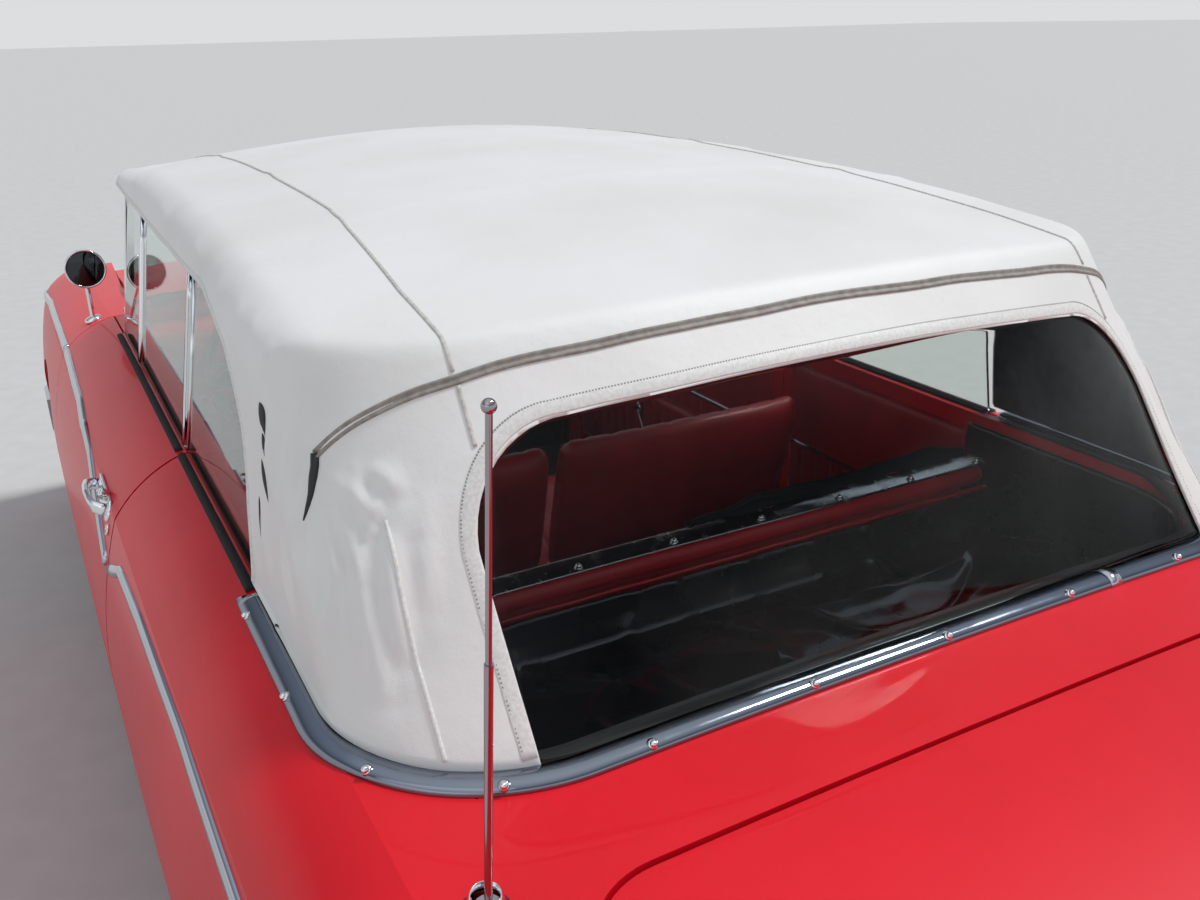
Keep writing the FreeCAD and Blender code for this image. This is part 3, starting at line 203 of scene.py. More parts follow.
def tube_faces(count, ring, closed=False, caps=True):
    """Faces of a tube of count rings, its two ends capped unless it closes on itself."""
    faces = []
    for i in range(count if closed else count - 1):
        j = (i + 1) % count
        faces += [(i * ring + k, i * ring + (k + 1) % ring, j * ring + (k + 1) % ring, j * ring + k)
                  for k in range(ring)]
    if caps and not closed:
        faces += [tuple(range(ring))[::-1], tuple(range((count - 1) * ring, count * ring))]
    return faces


def swept(name, path, ups, profile, material, closed=False):
    """A strip of one section, given as (across, up) points, laid along a path whose upward side is ups."""
    count, points = len(path), []
    for i, (place, up) in enumerate(zip(path, ups)):
        before = path[i - 1] if i or closed else path[0]
        after = path[(i + 1) % count] if i + 1 < count or closed else path[-1]
        along = (Vector(after) - Vector(before)).normalized()
        side = along.cross(Vector(up)).normalized()
        top = side.cross(along).normalized()
        points += [Vector(place) + side * a + top * b for a, b in profile]
    piece = new_piece(name, points, tube_faces(count, len(profile), closed), [material])
    outwards(piece)
    return piece


def laid_strip(name, laid, profile, material, closed=False):
    """A strip swept along (place, upward side) pairs."""
    return swept(name, [p for p, _ in laid], [n for _, n in laid], profile, material, closed)


def mirrored(profile):
    """A section given as its left half, with the other half added."""
    return profile + [(-a, b) for a, b in reversed(profile)]


def repeat_on(name, places, facings, material, tree_maker, sizes):
    """Small like parts on places, each facing its own way, by a tree of Geometry Nodes with named sizes."""
    piece = new_piece(name, places, [], [])
    facing = piece.data.attributes.new("facing", "FLOAT_VECTOR", "POINT")
    facing.data.foreach_set("vector", [c for f in facings for c in f])
    tree = bpy.data.node_groups.new(name + "_tree", "GeometryNodeTree")
    tree.interface.new_socket("Geometry", in_out="INPUT", socket_type="NodeSocketGeometry")
    for size in sizes:
        tree.interface.new_socket(size, in_out="INPUT", socket_type="NodeSocketFloat")
    tree.interface.new_socket("Geometry", in_out="OUTPUT", socket_type="NodeSocketGeometry")
    given, out = tree.nodes.new("NodeGroupInput"), tree.nodes.new("NodeGroupOutput")
    shape = tree_maker(tree, given)
    read = tree.nodes.new("GeometryNodeInputNamedAttribute")
    read.data_type = "FLOAT_VECTOR"
    read.inputs["Name"].default_value = "facing"
    turn = tree.nodes.new("FunctionNodeAlignRotationToVector")
    turn.axis = "Z"
    setter = tree.nodes.new("GeometryNodeInstanceOnPoints")
    real = tree.nodes.new("GeometryNodeRealizeInstances")
    coat = tree.nodes.new("GeometryNodeSetMaterial")
    coat.inputs["Material"].default_value = material
    wire(tree, (read, "Attribute", turn, "Vector"), (given, "Geometry", setter, "Points"),
         (shape, 0, setter, "Instance"), (turn, "Rotation", setter, "Rotation"),
         (setter, "Instances", real, "Geometry"), (real, "Geometry", coat, "Geometry"),
         (coat, "Geometry", out, "Geometry"))
    modifier = piece.modifiers.new("repeat", "NODES")
    modifier.node_group = tree
    for item in tree.interface.items_tree:
        if item.in_out == "INPUT" and item.name in sizes:
            modifier[item.identifier] = sizes[item.name]
    settle(piece)
    piece.data.materials.clear()
    piece.data.materials.append(material)
    return piece


def snap_shape(tree, given):
    """A snap: a flat washer with a round stud on it."""
    washer = tree.nodes.new("GeometryNodeMeshCone")
    washer.inputs["Vertices"].default_value = 20
    stud = tree.nodes.new("GeometryNodeMeshUVSphere")
    stud.inputs["Segments"].default_value = 16
    stud.inputs["Rings"].default_value = 8
    lift = tree.nodes.new("GeometryNodeTransform")
    up = tree.nodes.new("ShaderNodeCombineXYZ")
    both = tree.nodes.new("GeometryNodeJoinGeometry")
    smooth = tree.nodes.new("GeometryNodeSetShadeSmooth")
    wire(tree, (given, "Washer radius", washer, "Radius Bottom"),
         (given, "Stud radius", washer, "Radius Top"), (given, "Height", washer, "Depth"),
         (given, "Stud radius", stud, "Radius"), (given, "Height", up, "Z"),
         (stud, "Mesh", lift, "Geometry"), (up, "Vector", lift, "Translation"),
         (washer, "Mesh", both, "Geometry"), (lift, "Geometry", both, "Geometry"),
         (both, "Geometry", smooth, "Geometry"))
    return smooth


sides = ((1, "left"), (-1, "right"))
trim_steel = finish("stainless_trim", (0.50, 0.53, 0.58), 0.08, 1.0)
mottle(trim_steel, "Roughness", 0.06, 0.17, 17.0, 0.3, 0.8)
# The belt strip is the same stainless, coloured darker and bluer than the other trim: a painted reflection of
# dark blue sky.
belt_steel_painted_reflection = finish("belt_steel_painted_reflection", (0.24, 0.27, 0.32), 0.07, 1.0)
mottle(belt_steel_painted_reflection, "Roughness", 0.05, 0.14, 17.0)
body_skin = surface("rear_body", "trunk_lid")
belt_x, belt_front_y, belt_rear_y, belt_corner = 0.757, 0.757, 1.361, 0.245
molding_in, molding_out, molding_rise, molding_steps = 0.014, 0.026, 0.013, 12
glass_slot_z = 0.95


def belt_plan(distance, spacing=0.012):
    """Plan points of the belt at a distance outside the foot of the top, from left front to right front."""
    half, rear, corner = belt_x + distance, belt_rear_y + distance, belt_corner + distance
    left = [(half, y) for y in np.arange(belt_front_y, rear - corner, spacing)]
    left += [(half - corner + corner * math.cos(t), rear - corner + corner * math.sin(t))
             for t in np.linspace(0, math.pi / 2, 32)]
    back = [(x, rear) for x in np.linspace(half - corner, -(half - corner), 90)[1:-1]]
    return left + back + [(-x, y) for x, y in reversed(left)]


def on_skin(tree, x, y, top=1.3):
    return tree.ray_cast(Vector((x, y, top)), Vector((0, 0, -1)))[0]


inner_line = [on_skin(body_skin, x, y) for x, y in belt_plan(-molding_in)]
outer_line = [on_skin(body_skin, x, y) for x, y in belt_plan(molding_out)]
molding_points, molding_ups = [], []
for a, b in zip(inner_line, outer_line):
    if a.z < glass_slot_z:
        a.z = b.z + 0.001
    across = b - a
    rise = Vector((-across.x * across.z, -across.y * across.z, across.x ** 2 + across.y ** 2)).normalized()
    molding_ups.append(rise)
    molding_points.append(a - rise * 0.002)
    for t in (math.pi * k / molding_steps for k in range(molding_steps + 1)):
        crown = molding_rise * math.sin(t) ** 0.8 + 0.0005
        molding_points.append(a + across * (1 - math.cos(t)) / 2 + rise * crown)
    molding_points.append(b - rise * 0.002)
molding = new_piece("belt_molding_strip", molding_points, tube_faces(len(inner_line), molding_steps + 3),
                    [belt_steel_painted_reflection])
outwards(molding)
fit([molding], stands_for="belt_molding")

snap_plan = [(x, 1.371) for x in (0.443, 0.217, -0.009, -0.235, -0.461)]
for side, _ in sides:
    snap_plan += [(side * x, y) for x, y in ((0.604, 1.330), (0.729, 1.249), (0.772, 1.062), (0.773, 0.823))]
snap_places, snap_facings = [], []
for x, y in snap_plan:
    near = min(range(len(outer_line)), key=lambda i: (outer_line[i].x - x) ** 2 + (outer_line[i].y - y) ** 2)
    a, b, rise = inner_line[near], outer_line[near], molding_ups[near]
    snap_places.append(a + (b - a) * 0.84 + rise * (molding_rise * 0.72))
    snap_facings.append((rise * 0.72 + (b - a).normalized() * 0.69).normalized())
belt_snaps = repeat_on("belt_snaps", snap_places, snap_facings, plate, snap_shape,
                       {"Washer radius": 0.0075, "Stud radius": 0.0048, "Height": 0.004})
fit([belt_snaps])

sleeve_x, sleeve_half, sleeve_rise = -0.330, 0.011, 0.0148
near = min(range(len(outer_line)),
           key=lambda i: abs(outer_line[i].x - sleeve_x) + 3 * (outer_line[i].y < 1.3))
a, b, rise = inner_line[near], outer_line[near], molding_ups[near]
sleeve_laid = []
for t in (math.pi * k / 16 for k in range(17)):
    sleeve_laid.append(((a + b) / 2 - (b - a) / 2 * math.cos(t) + rise * sleeve_rise * math.sin(t) ** 0.8,
                        rise - (b - a).normalized() * math.cos(t)))
sleeve = laid_strip("molding_sleeve", sleeve_laid, mirrored([(-sleeve_half, -0.001), (-sleeve_half, 0.0008)]),
                    trim_steel)
fit([sleeve])

# Soft top: white vinyl-faced cloth sewn from a deck, two quarters and a rear curtain. It is stretched over the
# header and bows, tacked under the belt molding, and cut out for the side glass and the clear rear window.
def arc_points(start, through, end, steps=14):
    """Points of the arc from start through a point to end, in a plane."""
    (ax, ay), (bx, by), (cx, cy) = start, through, end
    d = 2 * (ax * (by - cy) + bx * (cy - ay) + cx * (ay - by))
    a_far, b_far, c_far = ax * ax + ay * ay, bx * bx + by * by, cx * cx + cy * cy
    ux = (a_far * (by - cy) + b_far * (cy - ay) + c_far * (ay - by)) / d
    uy = (a_far * (cx - bx) + b_far * (ax - cx) + c_far * (bx - ax)) / d
    radius = math.hypot(ax - ux, ay - uy)
    a0, a1, a2 = (math.atan2(y - uy, x - ux) for x, y in (start, through, end))
    turn = (a2 - a0) % (2 * math.pi)
    if (a1 - a0) % (2 * math.pi) > turn:
        turn -= 2 * math.pi
    return [(ux + radius * math.cos(a0 + turn * i / steps), uy + radius * math.sin(a0 + turn * i / steps))
            for i in range(steps + 1)]


def even(points, count):
    """The polyline walked again in even steps."""
    points = np.array([tuple(p) for p in points], float)
    walked = np.concatenate([[0], np.cumsum(np.linalg.norm(np.diff(points, axis=0), axis=1))])
    steps = np.linspace(0, walked[-1], count)
    return np.stack([np.interp(steps, walked, points[:, k]) for k in range(points.shape[1])], axis=1)


def face_grid(rows, columns):
    return [(i * columns + k, i * columns + k + 1, (i + 1) * columns + k + 1, (i + 1) * columns + k)
            for i in range(rows - 1) for k in range(columns - 1)]


top_vinyl = finish("white_top_vinyl", (0.85, 0.85, 0.83), 0.48, 0.0, {"Sheen Weight": 0.15})
mottle(top_vinyl, "Base Color", (0.79, 0.785, 0.755), (0.87, 0.87, 0.855), 3.2, 0.25, 0.62, 8.0)
grain(top_vinyl, 850.0, 0.00012, kind="ShaderNodeTexVoronoi")
grain(top_vinyl, 60.0, 0.0006, 2.0)
top_lining = finish("top_lining", (0.032, 0.032, 0.034), 0.85)
mottle(top_lining, "Base Color", (0.024, 0.024, 0.026), (0.045, 0.045, 0.048), 40.0)
grain(top_lining, 700.0, 0.0003)
cad_top = surface("soft_top", "rear_window")
header_y, fan_y, foot_z, foot_x = -0.985, 0.900, 1.000, 0.7555
columns, roof_rows, curtain_rows = 241, 92, 100
cloth_reach = 2.2
bow_half_widths = [0.0, 0.138, 0.262, 0.364, 0.544, 0.628, 0.666, 0.700]
bow_line_y = [1.146, 1.145, 1.137, 1.127, 1.099, 1.067, 1.044, 1.022]


def closer_at_ends(points):
    """The ring walked in steps that are shorter over the quarters, where the cloth is creased."""
    dense = even(points, columns * 6)
    t = np.linspace(-1, 1, columns)
    place = (0.5 + 0.5 * np.sign(t) * (1 - (1 - np.abs(t)) ** 1.35)) * (len(dense) - 1)
    return np.stack([np.interp(place, np.arange(len(dense)), dense[:, k]) for k in range(3)], axis=1)


def whole_ring(half):
    """A ring of the cloth from its left half, which ends in the middle of the car."""
    half = [tuple(p) for p in half]
    return closer_at_ends(half + [(-x, y, z) for x, y, z in reversed(half[:-1])])


def top_ring(centre, up):
    """Where a plane across the car meets the outside of the top, from the left foot to the right one."""
    centre, up = Vector(centre), Vector(up)
    half = []
    for a in np.linspace(0.0, math.pi / 2, 181):
        out = Vector((math.cos(a), 0, 0)) + up * math.sin(a)
        hit = cad_top.ray_cast(centre + out * cloth_reach, -out, cloth_reach)[0]
        if hit:
            half.append(hit)
    foot = centre + Vector((foot_x, 0, 0))
    half = ([foot] if not half or (half[0] - foot).length > 0.003 else []) + half
    half[-1].x = 0.0
    return whole_ring(half)


def belt_ring():
    """The lowest ring, tucked behind the belt molding."""
    inset, low_z = 0.0015, foot_z - 0.004
    radius = belt_corner - inset
    corner_x, corner_y = belt_x - belt_corner, belt_rear_y - belt_corner
    corner = [(corner_x + radius * math.cos(t), corner_y + radius * math.sin(t), low_z)
              for t in np.linspace(0, math.pi / 2, 24)]
    return whole_ring([(foot_x, fan_y + 0.001, foot_z), *corner, (0.0, belt_rear_y - inset, low_z)])


rings = [top_ring((0, y, foot_z), (0, 0, 1)) for y in np.linspace(header_y + 0.0005, fan_y, roof_rows)]
turns = np.linspace(0, math.radians(89.0), 240)
fan_foot, middle = Vector((0, fan_y, foot_z)), []
for t in turns:
    out = Vector((0, math.sin(t), math.cos(t)))
    hit = cad_top.ray_cast(fan_foot + out * cloth_reach, -out, cloth_reach)[0]
    middle.append(hit or Vector((0, belt_rear_y, foot_z)))
walk = np.concatenate([[0], np.cumsum([(b - a).length for a, b in zip(middle, middle[1:])])])
for t in np.interp(np.linspace(0, walk[-1], curtain_rows), walk, turns)[1:]:
    rings.append(top_ring(fan_foot, (0, math.sin(t), math.cos(t))))
cloth = np.array([*rings, belt_ring()])
share = np.zeros((len(cloth), columns, 1))
share[roof_rows - 8:-2] = 0.5
share[4:roof_rows - 8] = 0.12
for _ in range(10):
    softer = cloth.copy()
    softer[1:-1, 1:-1] = (cloth[:-2, 1:-1] + cloth[2:, 1:-1] + cloth[1:-1, :-2] + cloth[1:-1, 2:]) / 4
    cloth += (softer - cloth) * share


def grid_normals(grid):
    normal = np.cross(np.gradient(grid, axis=0), np.gradient(grid, axis=1))
    return normal / np.maximum(np.linalg.norm(normal, axis=2, keepdims=True), 1e-9)


def ridge(place, facing, start, end, width):
    """A fold of a width between two points near the cloth, full in its middle and gone at its ends."""
    start, end = np.array(start), np.array(end)
    line = end - start
    t = ((place - start) @ line) / (line @ line)
    off = place - (start + np.clip(t, 0, 1)[..., None] * line)
    near = np.linalg.norm(off, axis=-1) < 0.09
    off -= (off * facing).sum(axis=-1, keepdims=True) * facing
    across = np.exp(-(np.linalg.norm(off, axis=-1) / width) ** 2)
    return near * across * np.clip(1 - (2 * t - 1) ** 2, 0, 1)


facing = grid_normals(cloth)
raise_by = np.zeros(cloth.shape[:2])
x, y, z = cloth[..., 0], cloth[..., 1], cloth[..., 2]
on_roof = np.clip((z - 1.36) / 0.06, 0, 1)
bow_rise, bow_spread, roof_sag, unevenness = 0.0030, 0.030, 0.0022, 0.0022
for bow_y in (-0.520, 0.0, 0.520, np.interp(np.abs(x), bow_half_widths, bow_line_y)):
    raise_by += bow_rise * np.exp(-((y - bow_y) / bow_spread) ** 2) * on_roof
raise_by -= roof_sag * on_roof
# Folds over each quarter, as start, end, width and height: short ones below the end of the rear bow, long ones
# down the curtain, and slack ones along the edge of the roof.
folds = [
    ((0.692, 1.050, 1.262), (0.640, 1.130, 1.215), 0.010, 0.0060),
    ((0.700, 1.070, 1.240), (0.672, 1.150, 1.150), 0.010, 0.0064),
    ((0.716, 1.060, 1.225), (0.705, 1.140, 1.130), 0.010, 0.0056),
    ((0.660, 1.090, 1.285), (0.625, 1.130, 1.250), 0.009, 0.0044),
    ((0.650, 1.130, 1.235), (0.664, 1.215, 1.080), 0.015, 0.0078),
    ((0.690, 1.110, 1.200), (0.690, 1.225, 1.040), 0.014, 0.0072),
    ((0.735, 1.060, 1.165), (0.735, 1.150, 1.050), 0.015, 0.0050),
    ((0.712, 0.940, 1.335), (0.738, 0.925, 1.195), 0.018, 0.0062),
    ((0.704, 0.975, 1.335), (0.728, 0.995, 1.220), 0.015, 0.0046),
    ((0.738, 0.870, 1.190), (0.752, 0.850, 1.045), 0.016, 0.0050),
    ((0.700, 0.560, 1.400), (0.722, 0.640, 1.350), 0.016, 0.0044),
    ((0.700, 0.300, 1.425), (0.712, 0.420, 1.392), 0.016, 0.0040),
    ((0.695, -0.150, 1.430), (0.710, 0.050, 1.402), 0.018, 0.0034),
    ((0.690, 0.700, 1.395), (0.715, 0.780, 1.330), 0.020, 0.0044),
    ((0.610, -0.820, 1.470), (0.650, -0.760, 1.440), 0.016, 0.0028),
    ((0.668, -0.700, 1.440), (0.690, -0.520, 1.420), 0.018, 0.0034),
    ((0.680, 1.075, 1.290), (0.664, 1.125, 1.200), 0.008, 0.0044),
    ((0.700, 1.110, 1.150), (0.712, 1.180, 1.060), 0.012, 0.0050),
    ((0.655, 1.120, 1.262), (0.690, 1.130, 1.185), 0.007, 0.0036),
    ((0.640, 1.100, 1.290), (0.615, 1.150, 1.200), 0.012, 0.0038),
    ((0.722, 1.020, 1.255), (0.742, 1.035, 1.120), 0.010, 0.0050),
    ((0.745, 0.960, 1.170), (0.754, 0.985, 1.050), 0.013, 0.0044),
    ((0.700, 1.095, 1.190), (0.728, 1.120, 1.080), 0.008, 0.0046),
    ((0.610, 1.150, 1.270), (0.625, 1.200, 1.130), 0.014, 0.0040),
    ((0.690, 0.880, 1.380), (0.712, 0.900, 1.330), 0.012, 0.0044),
    ((0.690, 0.780, 1.390), (0.700, 0.860, 1.360), 0.012, 0.0040),
]
for *ends, width, height in folds:
    for side, grow in ((1, 1.0), (-1, 0.8)):
        crest = [(side * x0, y0, z0) for x0, y0, z0 in ends]
        dip = [(x0, y0 + width * 1.7, z0 - width * 0.6) for x0, y0, z0 in crest]
        raise_by += height * 1.3 * grow * ridge(cloth, facing, *crest, width)
        raise_by -= height * grow * 0.6 * ridge(cloth, facing, *dip, width)
noisy = np.array([[noise.noise(Vector(p) * 7.0) for p in row] for row in cloth])
raise_by += noisy * unevenness * (0.35 + 0.65 * (1 - on_roof))
raise_by[:, 0] = raise_by[:, -1] = 0
raise_by[-2:] = 0
cloth += grid_normals(cloth) * raise_by[..., None]
sheet_points = cloth.reshape(-1, 3)
sheet_faces = [(a, d, c, b) for a, b, c, d in face_grid(len(cloth), columns)]
sheet_tree = BVHTree.FromPolygons([Vector(p) for p in sheet_points], sheet_faces)


def met(tree, start, ray, lift=0.0):
    """The place where a ray meets a surface, lifted off it, and the normal there, which faces the ray."""
    place, normal, *_ = tree.ray_cast(Vector(start), Vector(ray))
    normal = normal if normal.dot(Vector(ray)) < 0 else -normal
    return place + normal * lift, normal


def on_top(x, y):
    return met(sheet_tree, (x, y, 2.5), (0, 0, -1))


def on_side(side, y, z, lift=0.0):
    return met(sheet_tree, (side * 2.5, y, z), (-side, 0, 0), lift)


def on_curtain(x, z, lift=0.0):
    return met(sheet_tree, (x, 3.5, z), (0, -1, 0), lift)


def prism(name, outline, axis, low, high):
    """A closed solid from an outline in the plane across an axis, to cut with."""
    count = len(outline)
    points = [(end, a, b) if axis == "X" else (a, end, b) for end in (low, high) for a, b in outline]
    faces = [tuple(range(count)), tuple(range(count, 2 * count))]
    faces += [(k, (k + 1) % count, count + (k + 1) % count, count + k) for k in range(count)]
    piece = new_piece(name, points, faces, [], False)
    outwards(piece)
    return piece


soft_top = new_piece("top_cover", sheet_points, sheet_faces, [top_vinyl, top_lining])
wall = soft_top.modifiers.new("wall", "SOLIDIFY")
wall.thickness, wall.offset, wall.material_offset = 0.003, -1.0, 1
opening_top, below_belt = 1.378, 0.90
quarter_curve = ([(0.757, 0.999)] + arc_points((0.751, 1.130), (0.715, 1.268), (0.610, 1.340))
                 + arc_points((0.610, 1.340), (0.505, 1.371), (0.380, opening_top))[1:])
side_outline = [(-1.4, below_belt), (0.757, below_belt), *quarter_curve, (-1.4, opening_top)]
side_cut = prism("side_cut", side_outline, "X", -0.95, 0.95)
window_half, window_side_z, window_high = 0.568, 1.197, 1.347
window_corner = arc_points((window_half, window_side_z), (0.532, 1.275), (0.428, 1.323), 12)
window_brow = arc_points((0.428, 1.323), (0.0, window_high), (-0.428, 1.323), 24)
window_edge = [(window_half, below_belt), *window_corner, *window_brow[1:],
               *((-x, z) for x, z in reversed(window_corner[:-1])), (-window_half, below_belt)]
window_cut = prism("window_cut", window_edge, "Y", 1.05, 1.60)
for cutter in (side_cut, window_cut):
    cut = soft_top.modifiers.new(cutter.name, "BOOLEAN")
    cut.operation, cut.solver, cut.object = "DIFFERENCE", "MANIFOLD", cutter
settle(soft_top)
for cutter in (side_cut, window_cut):
    bpy.data.objects.remove(cutter)
fit([soft_top], stands_for="soft_top")

# Sewn detail of the top: welts along the two deck seams and down the quarters, hems round the window and the
# side openings, and the double welt that hides the tacks along the rear bow, with its black tails.
def half_round(width, height, steps=8):
    """Section of a half-round strip that sinks a little into what it lies on."""
    half, sunk = width / 2, -0.001
    turns = [math.pi * i / steps for i in range(steps + 1)]
    return [(-half, sunk), *((-math.cos(t) * half, math.sin(t) * height) for t in turns), (half, sunk)]


welt = finish("top_welt", (0.60, 0.59, 0.55), 0.5)
mottle(welt, "Base Color", (0.50, 0.485, 0.45), (0.68, 0.67, 0.63), 160.0)
hem_vinyl = finish("hem_vinyl", (0.80, 0.80, 0.78), 0.5)
mottle(hem_vinyl, "Base Color", (0.70, 0.695, 0.67), (0.82, 0.82, 0.80), 220.0)
grain(welt, 500.0, 0.0002)
binding = finish("bow_binding", (0.30, 0.27, 0.24), 0.55)
mottle(binding, "Base Color", (0.25, 0.225, 0.20), (0.36, 0.33, 0.30), 90.0)
black_rubber = finish("black_rubber", (0.012, 0.012, 0.013), 0.45)
grain(black_rubber, 320.0, 0.0002)
flat_welt = mirrored([(-0.0028, -0.0018), (-0.0026, 0.0014), (-0.0012, 0.0021)])
sunk_hem = [(a, b - 0.0015) for a, b in half_round(0.012, 0.0038, 6)]
hem_foot_z = 1.004
deck_seam = ([-0.985, -0.180, 0.429, 0.895, 1.098], [0.500, 0.496, 0.495, 0.535, 0.542])
upper_line = even([(0.540, 1.362), (0.541, 1.300)], 20)
quarter_line = even([(0.652, 1.225), (0.657, 1.160), (0.660, 1.080), (0.661, hem_foot_z)], 80)
side_edge = [*even(quarter_curve, 90), *((y, opening_top) for y in np.linspace(0.365, header_y + 0.01, 90))]
for side, label in sides:
    deck_laid = [on_top(side * float(np.interp(y, *deck_seam)), y)
                 for y in np.linspace(header_y + 0.01, 1.088, 300)]
    edge_laid = [on_side(side, y + 0.003 * (z < 1.3), max(z + 0.004 * (z > 1.2), hem_foot_z))
                 for y, z in side_edge]
    fit([laid_strip("deck_seam_" + label, deck_laid, flat_welt, welt),
         laid_strip("curtain_seam_" + label, [on_curtain(side * x, z) for x, z in upper_line], flat_welt,
                    welt),
         laid_strip("quarter_seam_" + label, [on_curtain(side * x, z) for x, z in quarter_line], flat_welt,
                    hem_vinyl),
         laid_strip("side_hem_" + label, edge_laid, sunk_hem, hem_vinyl)])


def small_block(tree, given):
    block = tree.nodes.new("GeometryNodeMeshCube")
    sizes = tree.nodes.new("ShaderNodeCombineXYZ")
    wire(tree, (given, "Block width", sizes, "X"), (given, "Block length", sizes, "Y"),
         (given, "Block height", sizes, "Z"), (sizes, "Vector", block, "Size"))
    return block


def block_size(width, length, height):
    return {"Block width": width, "Block length": length, "Block height": height}


def beside_window(line, distance):
    """The window's edge moved outwards: sideways all along it, and upwards round its brow."""
    x, z = line.T
    upper = np.clip((z - 1.20) / 0.12, 0, 1)
    return np.stack([x * (1 + distance / window_half), z + distance * upper], axis=1)


brow_line = even([(x, z) for x, z in window_edge if z > 0.95], 200)
hem_line = even([(window_half, hem_foot_z), *brow_line, (-window_half, hem_foot_z)], 220)
hem_laid = [on_curtain(x, max(z, hem_foot_z)) for x, z in beside_window(hem_line, 0.010)]
window_hem = laid_strip("window_hem", hem_laid,
                        mirrored([(-0.0095, -0.002), (-0.0095, 0.0005), (-0.0080, 0.0011)]), hem_vinyl)
stitch_line = even(beside_window(hem_line, 0.0165), 420)
stitches_laid = [on_curtain(x, max(z, hem_foot_z), 0.0008) for x, z in stitch_line]
window_stitches = repeat_on("window_stitches", [p for p, _ in stitches_laid], [n for _, n in stitches_laid],
                            binding, small_block, block_size(0.0020, 0.0020, 0.0008))

bow_reach, bow_welt_shift, tail_steps = 0.698, 0.004, 16
tail_line = even([(1.024, 1.268), (1.031, 1.240), (1.034, 1.205)], tail_steps)
bow_laid = [on_top(x, float(np.interp(abs(x), bow_half_widths, bow_line_y)) - bow_welt_shift)
            for x in np.linspace(bow_reach, -bow_reach, 160)]
steady = np.array([[*p, *n] for p, n in bow_laid])
for _ in range(12):
    steady[1:-1] = (steady[:-2] + steady[1:-1] * 2 + steady[2:]) / 4
double_welt = mirrored([(-0.0068, -0.0025), (-0.0066, 0.0022), (-0.0046, 0.0038), (-0.0026, 0.0024),
                        (-0.0004, 0.0010)])
bow_welt = laid_strip("rear_bow_binding", [(Vector(row[:3]), Vector(row[3:]).normalized()) for row in steady],
                      double_welt, binding)
fit([window_stitches, window_hem, bow_welt])
for side, label in sides:
    tail = [on_top(side * bow_reach, bow_line_y[-1] - bow_welt_shift)]
    tail += [on_side(side, y, z) for y, z in tail_line]
    profile = half_round(0.014, 0.005, 8)
    piece = laid_strip("bow_tail_" + label, tail, profile, black_rubber)
    for k, v in enumerate(piece.data.vertices):
        step = min(k // len(profile), tail_steps)
        v.co += (tail[step][0] - v.co) * 0.85 * max(0.0, (step - 4) / 12)
    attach(piece, "car_body")

# Puckers: short slanted tucks that the cloth has kept ahead of the left rear bow, so deep that they lie in black
# shade.
# That shade is painted: each tuck is a thin lens of the black lining cloth laid on the top.
tuck_shadow_marks = [((0.880, 1.312), (0.914, 1.276), 0.0150), ((0.888, 1.273), (0.913, 1.238), 0.0125),
         ((0.872, 1.232), (0.898, 1.180), 0.0085), ((0.834, 1.165), (0.850, 1.104), 0.0065)]
tuck_shadow_pieces = []
for k, ((y0, z0), (y1, z1), width) in enumerate(tuck_shadow_marks):
    laid = [on_side(1, y0 + (y1 - y0) * t, z0 + (z1 - z0) * t, 0.0004) for t in np.linspace(0, 1, 17)]
    profile = half_round(width * 2, 0.0022, 8)
    # A thin black lens on the top: the painted shadow of a deep tuck.
    tuck_shadow = laid_strip("top_tuck_shadow_%d" % k, laid, profile, top_lining)
    for i, v in enumerate(tuck_shadow.data.vertices):
        step = i // len(profile)
        v.co = laid[step][0] + (v.co - laid[step][0]) * max(0.04, math.sin(math.pi * (step / 16) ** 0.8))
    tuck_shadow_pieces.append(tuck_shadow)
fit(tuck_shadow_pieces)

# Rear window: one sheet of clear flexible vinyl sewn into the curtain. It hangs a little slack, so it waves.
clear_vinyl = finish("clear_window_vinyl", (0.93, 0.94, 0.92), 0.03, 0.0,
                     {"Transmission Weight": 1.0, "IOR": 1.18})
grain(clear_vinyl, 5.0, 0.004, 1.0)
pane_columns, pane_rows, pane_foot, pane_overlap = 90, 34, 1.001, 0.008
edge_x, edge_z = zip(*reversed(window_edge[1:-1]))
pane = []
for i in range(pane_rows):
    for x in np.linspace(-window_half - pane_overlap, window_half + pane_overlap, pane_columns):
        inside = np.clip(x, -window_half + 0.001, window_half - 0.001)
        brow_z = float(np.interp(inside, edge_x, edge_z)) + 0.007
        z = pane_foot + (brow_z - pane_foot) * i / (pane_rows - 1)
        place, normal = on_curtain(float(x), z)
        slack = 0.0025 * noise.noise(Vector((x * 4, 0.3, z * 5)))
        pane.append(place - normal * (0.0052 + slack * (1 - abs(x) / 0.6)))
pane_faces = [(a, d, c, b) for a, b, c, d in face_grid(pane_rows, pane_columns)]
rear_pane = new_piece("rear_window_sheet", pane, pane_faces, [clear_vinyl])
wall = rear_pane.modifiers.new("wall", "SOLIDIFY")
wall.thickness, wall.offset = 0.0012, 0.0
settle(rear_pane)
fit([rear_pane], stands_for="rear_window")

# Side trim: a stainless strip pinned along fender, door and quarter. It follows the belt, drops in a shallow dip
# to the door's rear edge, and starts again behind it.
def on_flank(tree, side, y, z):
    return met(tree, (side * 1.4, y, z), (-side, 0, 0))


